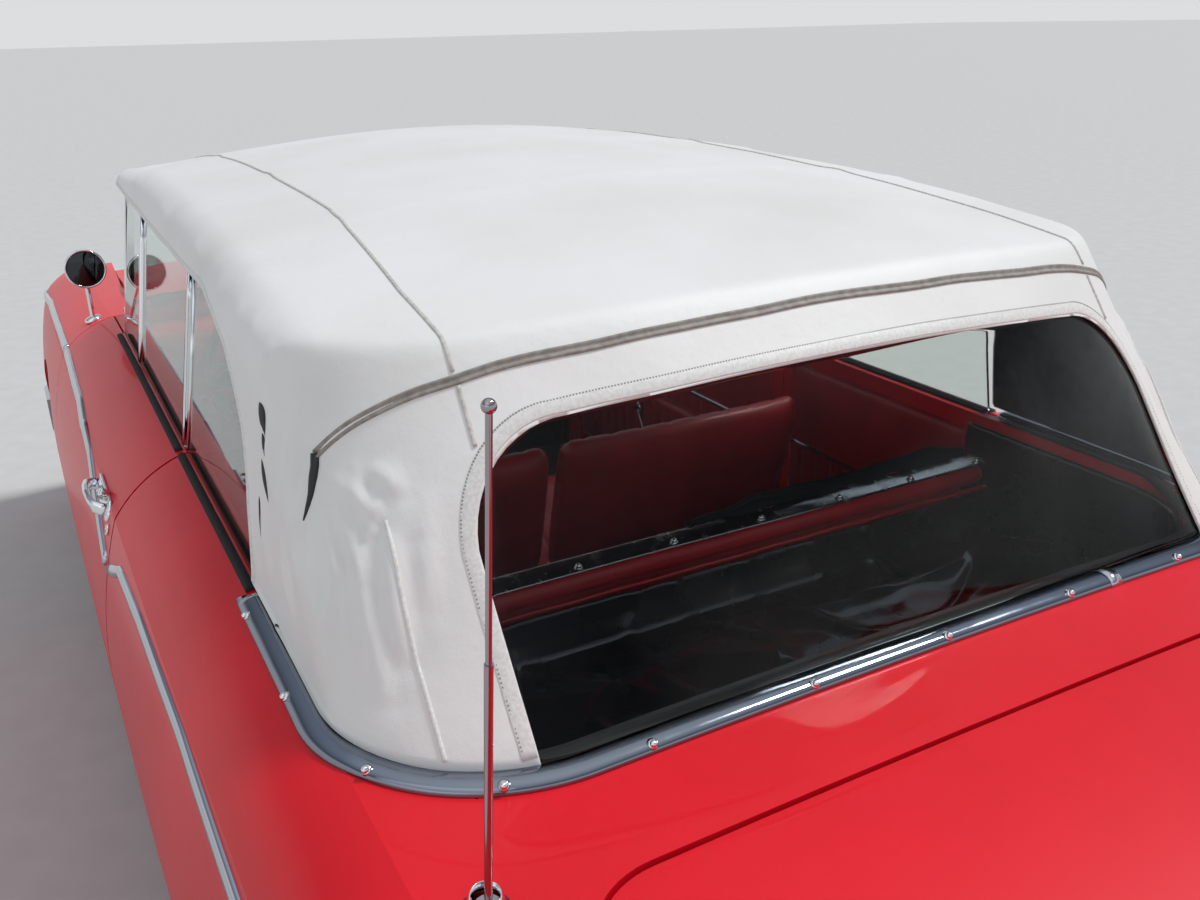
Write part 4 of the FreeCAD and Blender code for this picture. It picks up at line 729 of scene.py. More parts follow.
strip_width, strip_rise = 0.024, 0.007
trim_lines = {
    "fender": ("front_fenders", "car_body",
               [(-2.205, 0.868), (-1.900, 0.893), (-1.430, 0.904), (-1.172, 0.907)]),
    "door": ("door_{}", "{}_door",
             [(-1.150, 0.907), (-0.656, 0.901), (-0.300, 0.880), (-0.060, 0.835), (0.118, 0.800)]),
    "quarter": ("rear_body", "car_body",
                [(0.176, 0.806), (0.290, 0.848), (0.520, 0.862), (0.900, 0.870), (1.300, 0.858),
                 (1.800, 0.838), (2.230, 0.812)]),
}
for side, label in sides:
    for part, (node, body, line) in trim_lines.items():
        flank = surface(node.format(label))
        laid = [on_flank(flank, side, y, z) for y, z in even(line, 70)]
        strip = laid_strip("side_strip_" + part + "_" + label, laid, half_round(strip_width, strip_rise, 10),
                           trim_steel)
        fit([strip], body.format(label))


# Door pulls and locks: a plated escutcheon under each end of the bar, a push button beside the rear one, and a
# round lock cylinder below.
def turned(name, profile, centre, axis, material, steps=64, ring=False):
    """A piece turned on a lathe: profile is (distance along the axis, radius), open or closed to a ring."""
    centre, axis = Vector(centre), Vector(axis).normalized()
    side = Vector((0, 0, 1)).cross(axis)
    side = side.normalized() if side.length > 0.1 else Vector((1, 0, 0))
    up = axis.cross(side)
    turns = [2 * math.pi * k / steps for k in range(steps)]
    points = [centre + axis * along + (side * math.cos(t) + up * math.sin(t)) * r
              for along, r in profile for t in turns]
    piece = new_piece(name, points, tube_faces(len(profile), steps, ring, caps=False), [material])
    work = bmesh.new()
    work.from_mesh(piece.data)
    bmesh.ops.remove_doubles(work, verts=work.verts, dist=1e-6)
    bmesh.ops.recalc_face_normals(work, faces=work.faces)
    work.to_mesh(piece.data)
    work.free()
    return piece


def button_profile(radius, rise, edge=0.25):
    """Section of a round button with a softened rim and a slightly domed face."""
    soft = radius * edge
    return [(-0.004, 0), (-0.004, radius * 0.98), (rise - soft, radius),
            (rise - soft * 0.3, radius - soft * 0.3), (rise, radius - soft),
            (rise + radius * 0.08, radius * 0.4), (rise + radius * 0.10, 0)]


def channel(width, depth):
    """Section of a flat bar with its corners taken off."""
    a, b, soft = width / 2, depth / 2, 0.0025
    return [(-a, -b + soft), (-a, b - soft), (-a + soft, b), (a - soft, b), (a, b - soft), (a, -b + soft),
            (a - soft, -b), (-a + soft, -b)]


lock_face = finish("lock_face", (0.35, 0.35, 0.36), 0.22, 1.0)
mottle(lock_face, "Roughness", 0.16, 0.34, 160.0)
pull_front_y, pull_rear_y = -0.094, 0.060
pull_feet = (("front", pull_front_y, 0.017), ("rear", pull_rear_y, 0.020))
pull = [(0.0, 0.0), (0.0, 0.012), (0.012, 0.026), (0.040, 0.031), (0.078, 0.033), (0.116, 0.031),
        (0.142, 0.026), (0.154, 0.012), (0.154, 0.0)]
dish_section = mirrored([(-0.021, -0.002), (-0.0205, 0.0035), (-0.017, 0.0045), (-0.010, 0.0020)])
lock_rim = [(-0.002, 0.0), (-0.002, 0.0105), (0.0035, 0.0110), (0.0048, 0.0098), (0.0048, 0.0074),
            (0.0030, 0.0070), (0.0028, 0.0)]
for side, label in sides:
    flank, door = surface("door_" + label), label + "_door"
    for part, y, width in pull_feet:
        base = turned("pull_base_" + part + "_" + label, button_profile(width, 0.005, 0.2),
                      *on_flank(flank, side, y, 0.876), plate, 40)
        fit([base], door)
    foot, out = on_flank(flank, side, pull_front_y, 0.880)
    far_foot, far_out = on_flank(flank, side, pull_rear_y, 0.880)
    pull_line = [foot.lerp(far_foot, y / 0.154) + out.lerp(far_out, y / 0.154) * rise
                 for y, rise in even(pull, 60)]
    bar = swept("pull_bar_" + label, pull_line, [Vector((side * 0.15, -0.1, 1))] * 60,
                channel(0.012, 0.024), plate)
    dish_line = [foot.lerp(far_foot, t) for t in np.linspace(-0.06, 1.06, 30)]
    dish = swept("pull_dish_" + label, dish_line, [out] * 30, dish_section, plate)
    fit([bar, dish], door, "door_handle_" + label)
    at_button, at_lock = on_flank(flank, side, 0.016, 0.892), on_flank(flank, side, 0.092, 0.852)
    button = turned("pull_button_" + label, button_profile(0.0115, 0.020, 0.25), *at_button, plate, 32)
    rim = turned("lock_rim_" + label, lock_rim, *at_lock, plate, 32)
    key_way = turned("lock_face_" + label, button_profile(0.0060, 0.0036, 0.2), *at_lock, lock_face, 24)
    fit([button, rim, key_way], door)

# Side glass dressing: plated channels over the vent bar and the rear edge of the door glass, black felt wipers
# along the belt on both sides of the panes, and a plated bar along the front edge of the quarter glass.
wiper_felt = finish("wiper_felt", (0.010, 0.010, 0.011), 0.85)
grain(wiper_felt, 900.0, 0.0004)
pane_foot_x, pane_top_x, pane_foot_z, pane_top_z = 0.742, 0.676, 0.985, 1.352
pane_normal = Vector((pane_top_z - pane_foot_z, 0, pane_foot_x - pane_top_x)).normalized()
upwards = Vector((0, 0, 1))


def on_pane(side, y, z):
    """A point in the middle of the leaning side glass."""
    lean_in = (z - pane_foot_z) * (pane_foot_x - pane_top_x) / (pane_top_z - pane_foot_z)
    return Vector((side * (pane_foot_x - lean_in), y, z))


glass_bars = (("vent_bar_", (-0.577, 0.996), (-0.603, 1.354), 0.026),
              ("division_bar_", (0.0865, 0.996), (0.0865, 1.354), 0.017))
for side, label in sides:
    door, lean = label + "_door", Vector((side * pane_normal.x, 0, pane_normal.z))
    for part, low, high, width in glass_bars:
        line = [on_pane(side, low[0] + (high[0] - low[0]) * t, low[1] + (high[1] - low[1]) * t)
                for t in np.linspace(0, 1, 6)]
        fit([swept(part + label, line, [lean] * 6, channel(width, 0.0205), plate)], door)
    line = [on_pane(side, 0.119, z) for z in (0.996, 1.346)]
    fit([swept("quarter_bar_" + label, line, [lean] * 2, channel(0.012, 0.013), plate)])
    for body, node, place, first, last in ((door, "door_" + label, "door_", -0.912, 0.086),
                                           ("car_body", "rear_body", "quarter_", 0.114, 0.752)):
        belt_top = surface(node)
        for part, shift, width in (("outer", 0.0125, 0.016), ("inner", -0.0105, 0.011)):
            path, last_z = [], 0.985
            x = side * (pane_foot_x + shift + 0.003)
            for y in np.linspace(first, last, 60):
                hit = on_skin(belt_top, x, y, 1.2)
                last_z = hit.z if hit and hit.z > 0.95 else last_z
                path.append(Vector((x, y, last_z)))
            felt = swept(part + "_wiper_" + place + label, path, [upwards] * 60, half_round(width, 0.006, 6),
                         wiper_felt)
            fit([felt], body)

# Windshield dressing: a black rubber that beds the glass on the low rail, and two wiper arms at rest on the cowl.
rubber_low = [(0.722, -0.962), (0.716, -1.060), (0.690, -1.134), (0.610, -1.180), (0.400, -1.222),
              (0.0, -1.252)]
rubber_low = even(rubber_low + [(-x, y) for x, y in reversed(rubber_low[:-1])], 120)
seal = swept("windshield_rubber", [Vector((x, y - 0.006, 1.0225)) for x, y in rubber_low], [upwards] * 120,
             half_round(0.014, 0.008, 6), black_rubber)
fit([seal])
cowl_skin = surface("cowl", "windshield_frame", "hood")
for side, label in sides:
    pivot = on_skin(cowl_skin, side * 0.330, -1.300, 1.2)
    hub = turned("wiper_hub_" + label, button_profile(0.016, 0.018), pivot, (0, -0.2, 1), plate, 28)
    arm_line = [pivot + Vector((-side * 0.36 * t, 0.010 * t, 0.018 + 0.024 * math.sin(math.pi * t)))
                for t in np.linspace(0, 1, 14)]
    arm = swept("wiper_arm_" + label, arm_line, [upwards] * 14, channel(0.009, 0.006), plate)
    blade_line = [p + Vector((-side * 0.05, 0.012, -0.006)) for p in arm_line]
    blade = swept("wiper_blade_" + label, blade_line, [upwards] * 14, channel(0.006, 0.012), black_rubber)
    fit([hub, arm])
    fit([blade])

# Lamps: pressed bright bezels on the fender ends. Sealed headlamp glass has moulded flutes, and the round red
# tail lenses have raised rings.
lamp_glass = finish("lamp_glass", (0.90, 0.93, 0.93), 0.04, 0.0, {"Transmission Weight": 0.55, "IOR": 1.45})
lamp_tree = lamp_glass.node_tree
flute_bump = lamp_tree.nodes.new("ShaderNodeBump")
flute_bump.inputs["Distance"].default_value = 0.002
wire(lamp_tree, (texture_on(lamp_glass, "ShaderNodeTexWave", 34.0, 2.0), "Fac", flute_bump, "Height"),
     (flute_bump, "Normal", lamp_tree.nodes["Principled BSDF"], "Normal"))
red_lens = finish("red_lens", (0.42, 0.006, 0.008), 0.08, 0.0,
                  {"Transmission Weight": 0.25, "Coat Weight": 0.6})
mottle(red_lens, "Base Color", (0.30, 0.004, 0.006), (0.50, 0.010, 0.010), 26.0)
head_bezel = [(-0.001, 0.0), (-0.001, 0.1070), (0.060, 0.1075), (0.082, 0.1060), (0.088, 0.1020),
              (0.087, 0.0960), (0.078, 0.0900), (0.070, 0.0880), (0.066, 0.0860), (0.040, 0.0600), (0.020, 0.0)]
head_dome = [(0.050, 0.0), (0.062, 0.0860), (0.071, 0.0862)]
head_dome += [(0.071 + 0.027 * (1 - (r / 0.0862) ** 2), r) for r in np.linspace(0.082, 0.0, 12)]
tail_ring = [(0.0, 0.0), (0.0, 0.0832), (0.070, 0.0834), (0.090, 0.0822), (0.0985, 0.0785), (0.0990, 0.0730),
             (0.0930, 0.0680), (0.0800, 0.0660), (0.0600, 0.0)]
tail_dome = [(0.070, 0.0), (0.080, 0.0650)]
for r in np.linspace(0.0640, 0.018, 48):
    tail_dome.append((0.080 + 0.030 * (1 - (r / 0.066) ** 2) + 0.0022 * math.cos(r * 2 * math.pi / 0.011), r))
tail_dome += [(0.112, 0.0165), (0.1135, 0.010), (0.1140, 0.0)]
for side, label in sides:
    head, tail = Vector((side * 0.752, -2.330, 0.778)), Vector((side * 0.750, 2.350, 0.742))
    for node, part, profile, centre, along, material, slot in (
            ("headlamps", "headlamp_bezel_", head_bezel, head, -1, plate, "bright_trim"),
            ("headlamps", "headlamp_lens_", head_dome, head, -1, lamp_glass, "window_glass"),
            ("tail_lamps", "tail_lamp_ring_", tail_ring, tail, 1, plate, "bright_trim"),
            ("tail_lamps", "tail_lamp_lens_", tail_dome, tail, 1, red_lens, "window_glass")):
        fit([turned(part + label, profile, centre, (0, along, 0), material, 96)], stands_for=node)

# Mirror and mast dressing: the mirror's back is a plated cup and its rim a rolled edge. Its face is a mirror
# coloured
# nearly black: a painted dark reflection. The mast stands in a black grommet with a plated nut.
# Nearly black mirror face: a painted dark reflection.
mirror_painted_dark_reflection = finish("mirror_painted_dark_reflection", (0.055, 0.060, 0.065), 0.03, 1.0)
mottle(mirror_painted_dark_reflection, "Roughness", 0.02, 0.06, 30.0)
mirror_place = (0.800, -1.138, 1.136)
mirror_section = [(0.0, 0.0), (0.0, 0.0500), (0.0022, 0.0492), (0.0030, 0.0470), (0.0032, 0.0)]
rim_section = [(-0.006, 0.0518), (-0.006, 0.0545), (0.004, 0.0548), (0.0062, 0.0535), (0.0062, 0.0500),
               (0.0035, 0.0492), (0.0, 0.0500), (0.0, 0.0518)]
mirror_foot = on_skin(surface("front_fenders"), 0.800, -1.220, 1.2)
mast_foot = on_skin(body_skin, 0.700, 1.505, 1.2)
mast_lean = math.radians(8.5)
mast_axis = (0, math.sin(mast_lean), math.cos(mast_lean))
grommet_section = [(-0.003, 0.0145), (-0.003, 0.0260), (0.003, 0.0270), (0.006, 0.0230), (0.008, 0.0155),
                   (0.008, 0.0145)]
nut_section = [(0.008, 0.0143), (0.008, 0.0185), (0.020, 0.0185), (0.024, 0.0160), (0.030, 0.0150),
               (0.030, 0.0143)]
fit([turned("mirror_face", mirror_section, mirror_place, (0, 1, 0), mirror_painted_dark_reflection, 72),
     turned("mirror_rim", rim_section, mirror_place, (0, 1, 0), plate, 72, ring=True),
     turned("mirror_foot", button_profile(0.024, 0.010), mirror_foot, (0.25, 0, 1), plate, 40)])
fit([turned("mast_grommet", grommet_section, mast_foot, mast_axis, black_rubber, 40, ring=True)])
fit([turned("mast_nut", nut_section, mast_foot, mast_axis, plate, 40, ring=True)])

# Tyres: black bias-ply casings with a bulged sidewall, and on them a road tread of five ribs of rubber blocks.
# The blocks of every second rib are set half a step on.
tyre_rubber = finish("tyre_rubber", (0.017, 0.017, 0.018), 0.72)
mottle(tyre_rubber, "Base Color", (0.012, 0.012, 0.013), (0.040, 0.038, 0.036), 22.0, 0.4, 0.8, 6.0)
grain(tyre_rubber, 450.0, 0.00025)
casing = [(-0.062, 0.1910), (-0.073, 0.2010), (-0.080, 0.2180), (-0.0842, 0.2450), (-0.0848, 0.2650),
          (-0.0830, 0.2880), (-0.0785, 0.3100), (-0.0740, 0.3240), (-0.0725, 0.3270), (-0.0700, 0.3340),
          (-0.0630, 0.3420), (-0.0540, 0.3455)]
casing += [(0.0, 0.3462)] + [(-a, r) for a, r in reversed(casing)]
casing += [(0.050, 0.1903), (-0.050, 0.1903)]
rib_offsets, blocks_round, tread_radius = (-0.050, -0.025, 0.0, 0.025, 0.050), 66, 0.3446
wheels = [(label, side, Vector((side * track, axle_y, 0.352)))
          for end, axle_y, track in (("front_", -1.661, 0.7365), ("rear_", 1.273, 0.711))
          for side, label in ((1, end + "left"), (-1, end + "right"))]
for label, _, centre in wheels:
    tyre = turned("tyre_casing_" + label, casing, centre, (1, 0, 0), tyre_rubber, 120, ring=True)
    places, facings = [], []
    for rib, offset in enumerate(rib_offsets):
        for k in range(blocks_round):
            t = 2 * math.pi * (k + 0.5 * (rib % 2)) / blocks_round
            out = Vector((0, math.cos(t), math.sin(t)))
            places.append(centre + Vector((offset, 0, 0)) + out * (tread_radius + 0.002))
            facings.append(out)
    tread = repeat_on("tread_" + label, places, facings, tyre_rubber, small_block,
                      block_size(0.0195, 0.0270, 0.0105))
    fit([tyre, tread], label + "_wheel", "tyre_" + label)

# Wheel covers: spun stainless dishes with a raised centre and thirty-six pressed fins round the rim. The wheels
# behind them are in a grey metallic enamel.
cover_section = [(0.046, 0.0), (0.046, 0.1700), (0.0560, 0.1735), (0.0630, 0.1720), (0.0650, 0.1680),
                 (0.0610, 0.1600), (0.0600, 0.1500), (0.0640, 0.1300), (0.0690, 0.1220), (0.0710, 0.1120),
                 (0.0690, 0.0980), (0.0660, 0.0880), (0.0680, 0.0760), (0.0740, 0.0620), (0.0780, 0.0480),
                 (0.0800, 0.0300), (0.0810, 0.0120), (0.0812, 0.0)]
fins_round, fin_ring, fin_out = 36, 0.146, 0.0605
wheel_enamel = finish("wheel_enamel", (0.45, 0.45, 0.47), 0.28, 1.0)
mottle(wheel_enamel, "Roughness", 0.20, 0.42, 20.0)
for label, side, centre in wheels:
    dress(wheel_enamel, "wheel_" + label)
    cover = turned("wheel_cover_" + label, cover_section, centre, (side, 0, 0), trim_steel, 96)
    turns = [2 * math.pi * k / fins_round for k in range(fins_round)]
    outs = [Vector((0, math.cos(t), math.sin(t))) for t in turns]
    places = [centre + Vector((side * fin_out, 0, 0)) + out * fin_ring for out in outs]
    fins = repeat_on("cover_fins_" + label, places, outs, trim_steel, small_block,
                     block_size(0.0080, 0.0060, 0.0260))
    fit([cover, fins], label + "_wheel")

# Folding frame of the top: steel rails and bows in black enamel, which is worn brighter in some places than in
# others.
bow_enamel = finish("bow_enamel", (0.014, 0.014, 0.015), 0.38)
mottle(bow_enamel, "Roughness", 0.30, 0.60, 24.0)
dress(bow_enamel, "top_frame")


# Carpet: black loop pile laid over the floor and its tunnel, from the toe board to below the rear seat, and cut
# off short of the sills.
def sheet_piece(name, points, rows, columns, facing, thickness, material):
    """A thin sheet over a grid of points, its face turned the way facing points."""
    faces = face_grid(rows, columns)
    a, b, c = (Vector(points[i]) for i in faces[len(faces) // 2][:3])
    if (b - a).cross(c - a).dot(Vector(facing)) < 0:
        faces = [face[::-1] for face in faces]
    piece = new_piece(name, points, faces, [material])
    wall = piece.modifiers.new("wall", "SOLIDIFY")
    wall.thickness, wall.offset = thickness, -1.0
    settle(piece)
    return piece


carpet_pile = finish("loop_carpet", (0.020, 0.019, 0.019), 0.95, 0.0, {"Sheen Weight": 0.25})
mottle(carpet_pile, "Base Color", (0.012, 0.011, 0.011), (0.040, 0.037, 0.036), 75.0)
grain(carpet_pile, 300.0, 0.0025, kind="ShaderNodeTexVoronoi")
floor_skin = surface("floor_pan")
carpet_rows, carpet_columns, carpet_half, carpet_front, carpet_rear = 110, 100, 0.678, -1.180, 0.548
floor_z, floor_top_z, carpet_lift = 0.49, 0.52, 0.0085
carpet_points = []
for y in np.linspace(carpet_front, carpet_rear, carpet_rows):
    for x in np.linspace(-carpet_half, carpet_half, carpet_columns):
        hit = on_skin(floor_skin, x, y, 0.72)
        nap = 0.0012 * noise.noise(Vector((x * 40, y * 40, 0)))
        carpet_points.append(Vector((x, y, min(hit.z if hit else floor_z, floor_top_z) + carpet_lift + nap)))
carpet = sheet_piece("carpet", carpet_points, carpet_rows, carpet_columns, (0, 0, 1), 0.006, carpet_pile)
fit([carpet])

# Seats: foam over springs in red vinyl, with sewn pleats across the sitting faces and a welt round the edges.
# The front back is split down the middle so that each half can tip forward.
seat_vinyl = finish("seat_vinyl", (0.50, 0.006, 0.014), 0.36, 0.0,
                    {"Coat Weight": 0.25, "Coat Roughness": 0.2})
mottle(seat_vinyl, "Base Color", (0.42, 0.005, 0.011), (0.56, 0.008, 0.018), 7.0)
mottle(seat_vinyl, "Roughness", 0.30, 0.46, 18.0)
grain(seat_vinyl, 620.0, 0.0003, kind="ShaderNodeTexVoronoi")
seat_welt = finish("seat_welt", (0.46, 0.006, 0.012), 0.30, 0.0, {"Coat Weight": 0.4})
mottle(seat_welt, "Base Color", (0.40, 0.005, 0.010), (0.52, 0.008, 0.016), 60.0)


def eased(loop, times=3):
    """A closed outline with its corners cut back again and again, until they are round."""
    loop = [np.array(p, float) for p in loop]
    for _ in range(times):
        loop = [q for p, after in zip(loop, loop[1:] + loop[:1])
                for q in (p * 0.78 + after * 0.22, p * 0.22 + after * 0.78)]
    return loop


def pad_form(name, loop, low_x, high_x, end_round, stations=130):
    """A closed pad: a side outline of (y, z) run across the car, drawn in towards both ends."""
    loop = eased(loop)
    loop = even([*loop, loop[0]], 57)[:-1]
    centre, size = (loop.min(axis=0) + loop.max(axis=0)) / 2, (loop.max(axis=0) - loop.min(axis=0)) / 2
    ends = [(end_round * (1 - math.cos(t)), end_round * (1 - math.sin(t)))
            for t in np.linspace(0.12, math.pi / 2, 7)]
    rows = [(low_x + a, b) for a, b in ends]
    rows += [(x, 0.0) for x in np.linspace(low_x + end_round, high_x - end_round, stations)[1:-1]]
    rows += [(high_x - a, b) for a, b in reversed(ends)]
    points = [(x, *(centre + (p - centre) * (1 - inset / size))) for x, inset in rows for p in loop]
    ring, count = len(loop), len(rows)
    faces = tube_faces(count, ring, caps=False)
    faces += [tuple(range(ring)), tuple(range((count - 1) * ring, count * ring))]
    pad = new_piece(name, points, faces, [seat_vinyl])
    outwards(pad)
    return pad


def swell(pad, reach, voxel=0.011):
    """Blows the pad up like a filled cushion, no further than reach, and smooths it."""
    pressure, last_frame = 4.0, 20
    remesh = pad.modifiers.new("even_mesh", "REMESH")
    remesh.mode, remesh.voxel_size = "VOXEL", voxel
    settle(pad)
    start = np.array([v.co[:] for v in pad.data.vertices])
    cloth_on = pad.modifiers.new("swell", "CLOTH")
    cloth_on.settings.use_pressure = True
    cloth_on.settings.uniform_pressure_force = pressure
    cloth_on.settings.effector_weights.gravity = 0.0
    cloth_on.point_cache.frame_start, cloth_on.point_cache.frame_end = 1, last_frame
    for frame_number in range(1, last_frame + 1):
        bpy.context.scene.frame_set(frame_number)
    blown = pad.evaluated_get(bpy.context.evaluated_depsgraph_get()).data
    moved = np.array([v.co[:] for v in blown.vertices]) - start
    far = np.linalg.norm(moved, axis=1, keepdims=True)
    moved *= np.minimum(1.0, reach / np.maximum(far, 1e-9))
    pad.modifiers.clear()
    pad.data.vertices.foreach_set("co", (start + moved).ravel())
    bpy.context.scene.frame_set(1)
    pad.data.polygons.foreach_set("use_smooth", [True] * len(pad.data.polygons))
    softer = pad.modifiers.new("soft", "SUBSURF")
    softer.levels = softer.render_levels = 1
    settle(pad)


def pleat(pad, depth, low, high, facing, spacing=0.075):
    """Presses sewn channels into the part of a pad between two corners that faces one way."""
    edge_fade, channel_width, puff = 0.015, 0.0075, 0.25
    facing = np.array(facing) / np.linalg.norm(facing)
    places = np.array([v.co[:] for v in pad.data.vertices])
    normals = np.array([v.normal[:] for v in pad.data.vertices])
    px, py, pz = places.T
    rim = np.minimum.reduce([(py - low[1]) * facing[2] - (pz - low[2]) * facing[1],
                             (high[1] - py) * facing[2] - (high[2] - pz) * facing[1],
                             px - low[0], high[0] - px])
    share = np.clip(rim / edge_fade, 0, 1) * np.clip(normals @ facing * 1.6, 0, 1)
    off = np.abs((px / spacing + 0.5) % 1.0 - 0.5) * spacing
    places -= normals * (share * depth * (np.exp(-(off / channel_width) ** 2) - puff))[:, None]
    pad.data.vertices.foreach_set("co", places.ravel())


def round_rope(radius, steps=10):
    turns = [2 * math.pi * k / steps for k in range(steps)]
    return [(radius * math.cos(t), radius * math.sin(t)) for t in turns]


def welt_along(name, pad, low_x, high_x, y, z, radius=0.004):
    """A sewn welt laid across a pad where rays backwards from y and z meet it."""
    tree = BVHTree.FromPolygons([v.co.copy() for v in pad.data.vertices],
                                [tuple(p.vertices) for p in pad.data.polygons])
    backwards = Vector((0, 1, 0))
    hits = [tree.ray_cast(Vector((x, y, z)), backwards)[0] for x in np.linspace(low_x, high_x, 90)]
    path = [hit - backwards * radius * 0.3 for hit in hits if hit]
    return swept(name, path, [-backwards] * len(path), round_rope(radius), seat_welt)


front_cushion = pad_form("front_seat_cushion",
                         [(-0.405, 0.440), (0.100, 0.432), (0.110, 0.515), (-0.320, 0.562), (-0.400, 0.545)],
                         -0.672, 0.672, 0.045)
swell(front_cushion, 0.012)
pleat(front_cushion, 0.0065, (-0.60, -0.345, 0.0), (0.60, 0.060, 9.0), (0, 0, 1))
back_outline = [(0.075, 0.520), (0.150, 0.520), (0.258, 0.870), (0.232, 0.902), (0.196, 0.885)]
front_backs = [pad_form("front_seat_back_left", back_outline, 0.007, 0.672, 0.035, 66),
               pad_form("front_seat_back_right", back_outline, -0.672, -0.007, 0.035, 66)]
for back, low_x, high_x in zip(front_backs, (0.06, -0.615), (0.615, -0.06)):
    swell(back, 0.010)
    pleat(back, 0.0060, (low_x, -1.0, 0.600), (high_x, 1.0, 0.850), (0, -0.97, 0.25))
rear_cushion = pad_form("rear_seat_cushion",
                        [(0.440, 0.432), (0.560, 0.525), (0.735, 0.525), (0.735, 0.572), (0.470, 0.592),
                         (0.432, 0.560)], -0.632, 0.632, 0.040)
swell(rear_cushion, 0.010)
pleat(rear_cushion, 0.0060, (-0.56, 0.470, 0.0), (0.56, 0.700, 9.0), (0, 0, 1))
rear_back = pad_form("rear_seat_back",
                     [(0.752, 0.575), (0.822, 0.560), (0.832, 0.880), (0.815, 0.908), (0.790, 0.900),
                      (0.745, 0.645)], -0.632, 0.632, 0.035)
swell(rear_back, 0.008)
pleat(rear_back, 0.0060, (-0.56, -1.0, 0.640), (0.56, 1.0, 0.860), (0, -0.98, 0.17))
welts = [welt_along("front_cushion_welt", front_cushion, -0.655, 0.655, -0.60, 0.535),
         welt_along("rear_cushion_welt", rear_cushion, -0.615, 0.615, 0.20, 0.560),
         welt_along("rear_back_welt", rear_back, -0.615, 0.615, 0.50, 0.880),
         welt_along("front_back_welt_left", front_backs[0], 0.025, 0.655, -0.20, 0.872),
         welt_along("front_back_welt_right", front_backs[1], -0.655, -0.025, -0.20, 0.872)]
runner_x = 0.320
runners = [swept("seat_runner_" + label, [Vector((side * runner_x, y, 0.348)) for y in (-0.33, 0.10)],
                 [upwards] * 2, channel(0.040, 0.020), bow_enamel) for side, label in sides]
runners += [swept("seat_riser_" + label + end, [Vector((side * runner_x, y, z)) for z in (0.352, 0.440)],
                  [Vector((0, 1, 0))] * 2, channel(0.034, 0.060), bow_enamel)
            for side, label in sides for end, y in (("_front", -0.28), ("_rear", 0.05))]
fit([front_cushion, *front_backs], stands_for="front_seat")
fit([rear_cushion, rear_back], stands_for="rear_seat")
fit(welts)
fit(runners, stands_for="front_seat")

# Top of the rear seat back: a red vinyl roll with a welt below it, and on it an aluminium strip that holds the
# front edge of the well liner, with a row of snaps.
roll = pad_form("rear_seat_roll",
                [(0.812, 0.886), (0.832, 0.880), (0.850, 0.892), (0.853, 0.908), (0.842, 0.922),
                 (0.812, 0.922)], -0.646, 0.646, 0.018)
swell(roll, 0.002, 0.006)
fit([roll], stands_for="rear_seat")
welt_path = [Vector((x, 0.853, 0.879 + 0.0006 * math.sin(x * 40))) for x in np.linspace(-0.646, 0.646, 80)]
roll_welt = swept("rear_roll_welt", welt_path, [Vector((0, 1, 0))] * 80, round_rope(0.0042), seat_welt)
fit([roll_welt])
aluminium = finish("aluminium_strip", (0.52, 0.53, 0.55), 0.16, 1.0)
mottle(aluminium, "Roughness", 0.10, 0.30, 38.0)
strip_path = [Vector((x, 0.822, 0.9262 + 0.0008 * math.sin(x * 9))) for x in np.linspace(-0.652, 0.652, 120)]
seat_strip = swept("seat_back_strip", strip_path, [Vector((0, 0.10, 1))] * 120,
                   mirrored([(-0.023, -0.0012), (-0.0228, 0.0008), (-0.019, 0.0018)]), aluminium)
snap_x = (0.442, 0.258, 0.074, -0.108, -0.286, -0.459, -0.631)
strip_snaps = repeat_on("seat_strip_snaps", [Vector((x, 0.836, 0.9275)) for x in snap_x],
                        [Vector((0, 0.1, 1))] * 7, plate, snap_shape,
                        {"Washer radius": 0.0085, "Stud radius": 0.0052, "Height": 0.004})
fit([seat_strip, strip_snaps])

# Well liner: glossy black vinyl hung from the seat back, laid across the well where the folded top goes, and
# turned up against the deck. It is cut too large, so it lies in creases.
liner_vinyl = finish("liner_vinyl", (0.006, 0.006, 0.007), 0.20, 0.0,
                     {"Coat Weight": 0.7, "Coat Roughness": 0.08})
mottle(liner_vinyl, "Roughness", 0.14, 0.32, 9.0)
grain(liner_vinyl, 38.0, 0.0016, 4.0)
liner_profile = even([(0.857, 0.872), (0.862, 0.840), (0.880, 0.802), (0.905, 0.789), (1.000, 0.786),
                      (1.150, 0.786), (1.240, 0.789), (1.272, 0.806), (1.300, 0.900), (1.309, 0.962)], 90)
liner_columns, liner_half, liner_corner, liner_rear, liner_z = 184, 0.7115, 0.200, 1.315, 0.785
liner_points = []
for y, z in liner_profile:
    past = max(0.0, y - (liner_rear - liner_corner))
    half = liner_half - liner_corner + math.sqrt(max(liner_corner ** 2 - past ** 2, 0.0))
    for u in np.linspace(-1, 1, liner_columns):
        x = u * half
        sag = 1 - abs(noise.noise(Vector((x * 2.1 + 3.0, y * 5.5, 1.7)))) * 2.4
        crease = 1 - abs(noise.noise(Vector((x * 5.0 + y * 3.0, y * 7.0 - x * 2.0, 4.2)))) * 3.4
        fine = noise.noise(Vector((x * 16.0, y * 22.0, z * 12.0)))
        lift = 0.0012 + 0.009 * max(0.0, sag) ** 3 + 0.008 * max(0.0, crease) ** 4 + 0.0018 * (fine + 0.5)
        at_end = min(1.0, (z - liner_z) / 0.06)
        liner_points.append((x, y + lift * at_end * (1 if y < 1.1 else -1), z + lift * (1 - at_end) + 0.0006))
liner_size = (len(liner_profile), liner_columns)
liner = sheet_piece("well_liner_sheet", liner_points, *liner_size, (0, 0, 1), 0.0016, liner_vinyl)

